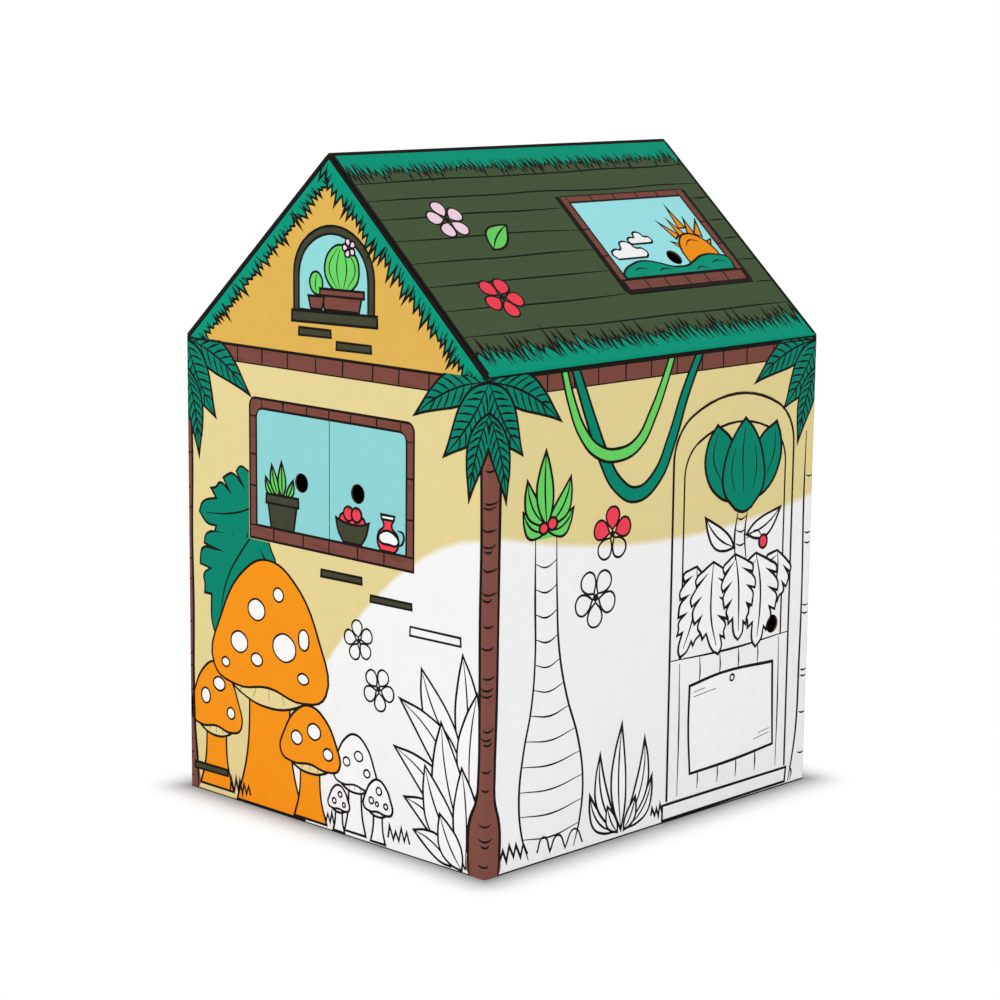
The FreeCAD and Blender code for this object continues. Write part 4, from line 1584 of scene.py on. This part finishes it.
class PLAYHOUSE_OT_stage(bpy.types.Operator):
    """Set the floor, the white surroundings, the lamps and the camera"""

    bl_idname = "playhouse.stage"
    bl_label = "Studio"

    def execute(self, context):
        scene = context.scene
        scene.view_settings.view_transform = "Standard"
        self.lay_floor()
        scene.world = scene.world or bpy.data.worlds.new("studio")
        self.surround(scene.world)
        for name, place, power in (
            ("key_lamp", (-1.6, -4.6, 3.4), 80),
            ("fill_lamp", (4.6, -1.2, 2.8), 50),
        ):
            bpy.ops.object.light_add(type="AREA", location=place)
            lamp = bpy.context.object
            lamp.name = name
            lamp.data.size = 2.6
            lamp.data.energy = power
            aim = Vector((0, 0, 0.6)) - Vector(place)
            lamp.rotation_euler = aim.to_track_quat("-Z", "Y").to_euler()
        scene.camera = self.set_camera()
        return {"FINISHED"}

    def lay_floor(self):
        """White where it is seen, and grey for the light, so that it keeps the house's shadow.

        Where it is seen, its colour also darkens close to the house: a painted contact shadow.
        """
        shadow_reach, shadow_depth, painted_shadow_fade = 0.095, 0.8, 11.0
        finish = Finish("studio_floor")
        camera, glossy, through = (
            finish.add("ShaderNodeLightPath", output=f"Is {kind} Ray")
            for kind in ("Camera", "Glossy", "Transmission")
        )
        seen = camera | (glossy | through)
        x, y, _ = finish.parts_of("Object")
        beside = finish.math("MAXIMUM", abs(x) - HALF_WIDTH, 0.0)
        before = finish.math("MAXIMUM", abs(y) - HALF_DEPTH, 0.0)
        beyond = (beside * beside + before * before) ** 0.5
        lit = finish.limited(beyond / shadow_reach) ** 1.15 * shadow_depth + (1 - shadow_depth)
        # Painted contact shadow: where the floor is seen, its colour darkens towards the house.
        dark = seen * finish.limited(0.8 - beyond * painted_shadow_fade)
        painted_shadow_tone = finish.blend((0.9, 0.9, 0.9), (0.0, 0.0, 0.0), dark)
        matt = finish.add("ShaderNodeBsdfDiffuse", inputs={"Color": painted_shadow_tone})
        white = finish.add("ShaderNodeEmission", inputs={"Color": (1, 1, 1, 1), "Strength": 1.0})
        mixed = finish.add("ShaderNodeMixShader", inputs={0: seen * lit, 1: matt, 2: white})
        bpy.ops.object.select_all(action="DESELECT")
        bpy.ops.mesh.primitive_plane_add(size=60, location=(0, 0, 0))
        floor = bpy.context.object
        floor.name = floor.data.name = "studio_floor"
        floor.data.materials.append(finish.surfaced(mixed))

    def surround(self, world):
        """A plain light all round, that is seen as white."""
        finish = Finish("studio", world)
        camera, glossy = (
            finish.add("ShaderNodeLightPath", output=f"Is {kind} Ray")
            for kind in ("Camera", "Glossy")
        )
        light, white = (
            finish.add("ShaderNodeBackground", inputs={"Color": (1, 1, 1, 1), "Strength": strength})
            for strength in (0.74, 1.0)
        )
        inputs = {0: camera | glossy, 1: light, 2: white}
        mixed = finish.add("ShaderNodeMixShader", inputs=inputs)
        finish.surfaced(mixed, "ShaderNodeOutputWorld")

    def set_camera(self):
        """Looks at the near right corner. Distances are shares of the eave height."""
        turn, rise, lean = math.radians(44.02), math.radians(10.51), math.radians(0.62)
        distance, aside, upward = 5.804, 0.031, 0.144
        house = measures().eave_height
        back = Vector(
            (math.sin(turn) * math.cos(rise), -math.cos(turn) * math.cos(rise), math.sin(rise))
        )
        right = Vector((math.cos(turn), math.sin(turn), 0))
        above = back.cross(right)
        middle = Vector((0.5 * house - HALF_WIDTH, 0.5 * house - HALF_DEPTH, 0.5 * house))
        place = middle + back * distance * house - right * aside * house + above * upward * house
        bpy.ops.object.camera_add(location=place)
        camera = bpy.context.object
        camera.name = "camera"
        axes = Matrix((right, above, back)).transposed().to_4x4()
        camera.matrix_world = Matrix.Translation(place) @ axes @ Matrix.Rotation(lean, 4, "Z")
        camera.data.lens = 95.8
        camera.data.clip_end = 200
        return camera


class PLAYHOUSE_PT_panel(bpy.types.Panel):
    """Lists the pieces of the playhouse, and its colours and sizes"""

    bl_label = "Playhouse"
    bl_idname = "PLAYHOUSE_PT_panel"
    bl_space_type = "VIEW_3D"
    bl_region_type = "UI"
    bl_category = "Playhouse"

    def draw(self, context):
        for operator in OPERATORS:
            self.layout.operator(operator.bl_idname)
        for group in (colours(), measures()):
            for name in group.__annotations__:
                self.layout.prop(group, name)


OPERATORS = (
    PLAYHOUSE_OT_board,
    PLAYHOUSE_OT_bricks,
    PLAYHOUSE_OT_thatch,
    PLAYHOUSE_OT_planks,
    PLAYHOUSE_OT_trunks,
    PLAYHOUSE_OT_palms,
    PLAYHOUSE_OT_gable_windows,
    PLAYHOUSE_OT_shutters,
    PLAYHOUSE_OT_broad_leaves,
    PLAYHOUSE_OT_toadstools,
    PLAYHOUSE_OT_rosettes,
    PLAYHOUSE_OT_blossoms,
    PLAYHOUSE_OT_vines,
    PLAYHOUSE_OT_bottle_palm,
    PLAYHOUSE_OT_door,
    PLAYHOUSE_OT_hatch,
    PLAYHOUSE_OT_ground,
    PLAYHOUSE_OT_stage,
)
CLASSES = (PlayhouseColours, PlayhouseSizes, *OPERATORS, PLAYHOUSE_PT_panel)


def register():
    for cls in CLASSES:
        bpy.utils.register_class(cls)
    bpy.types.Scene.playhouse_colours = PointerProperty(type=PlayhouseColours)
    bpy.types.Scene.playhouse_sizes = PointerProperty(type=PlayhouseSizes)


def unregister():
    del bpy.types.Scene.playhouse_sizes
    del bpy.types.Scene.playhouse_colours
    for cls in reversed(CLASSES):
        bpy.utils.unregister_class(cls)


def main():
    register()
    for operator in OPERATORS:
        space, name = operator.bl_idname.split(".")
        getattr(getattr(bpy.ops, space), name)()


if __name__ == "__main__":
    main()
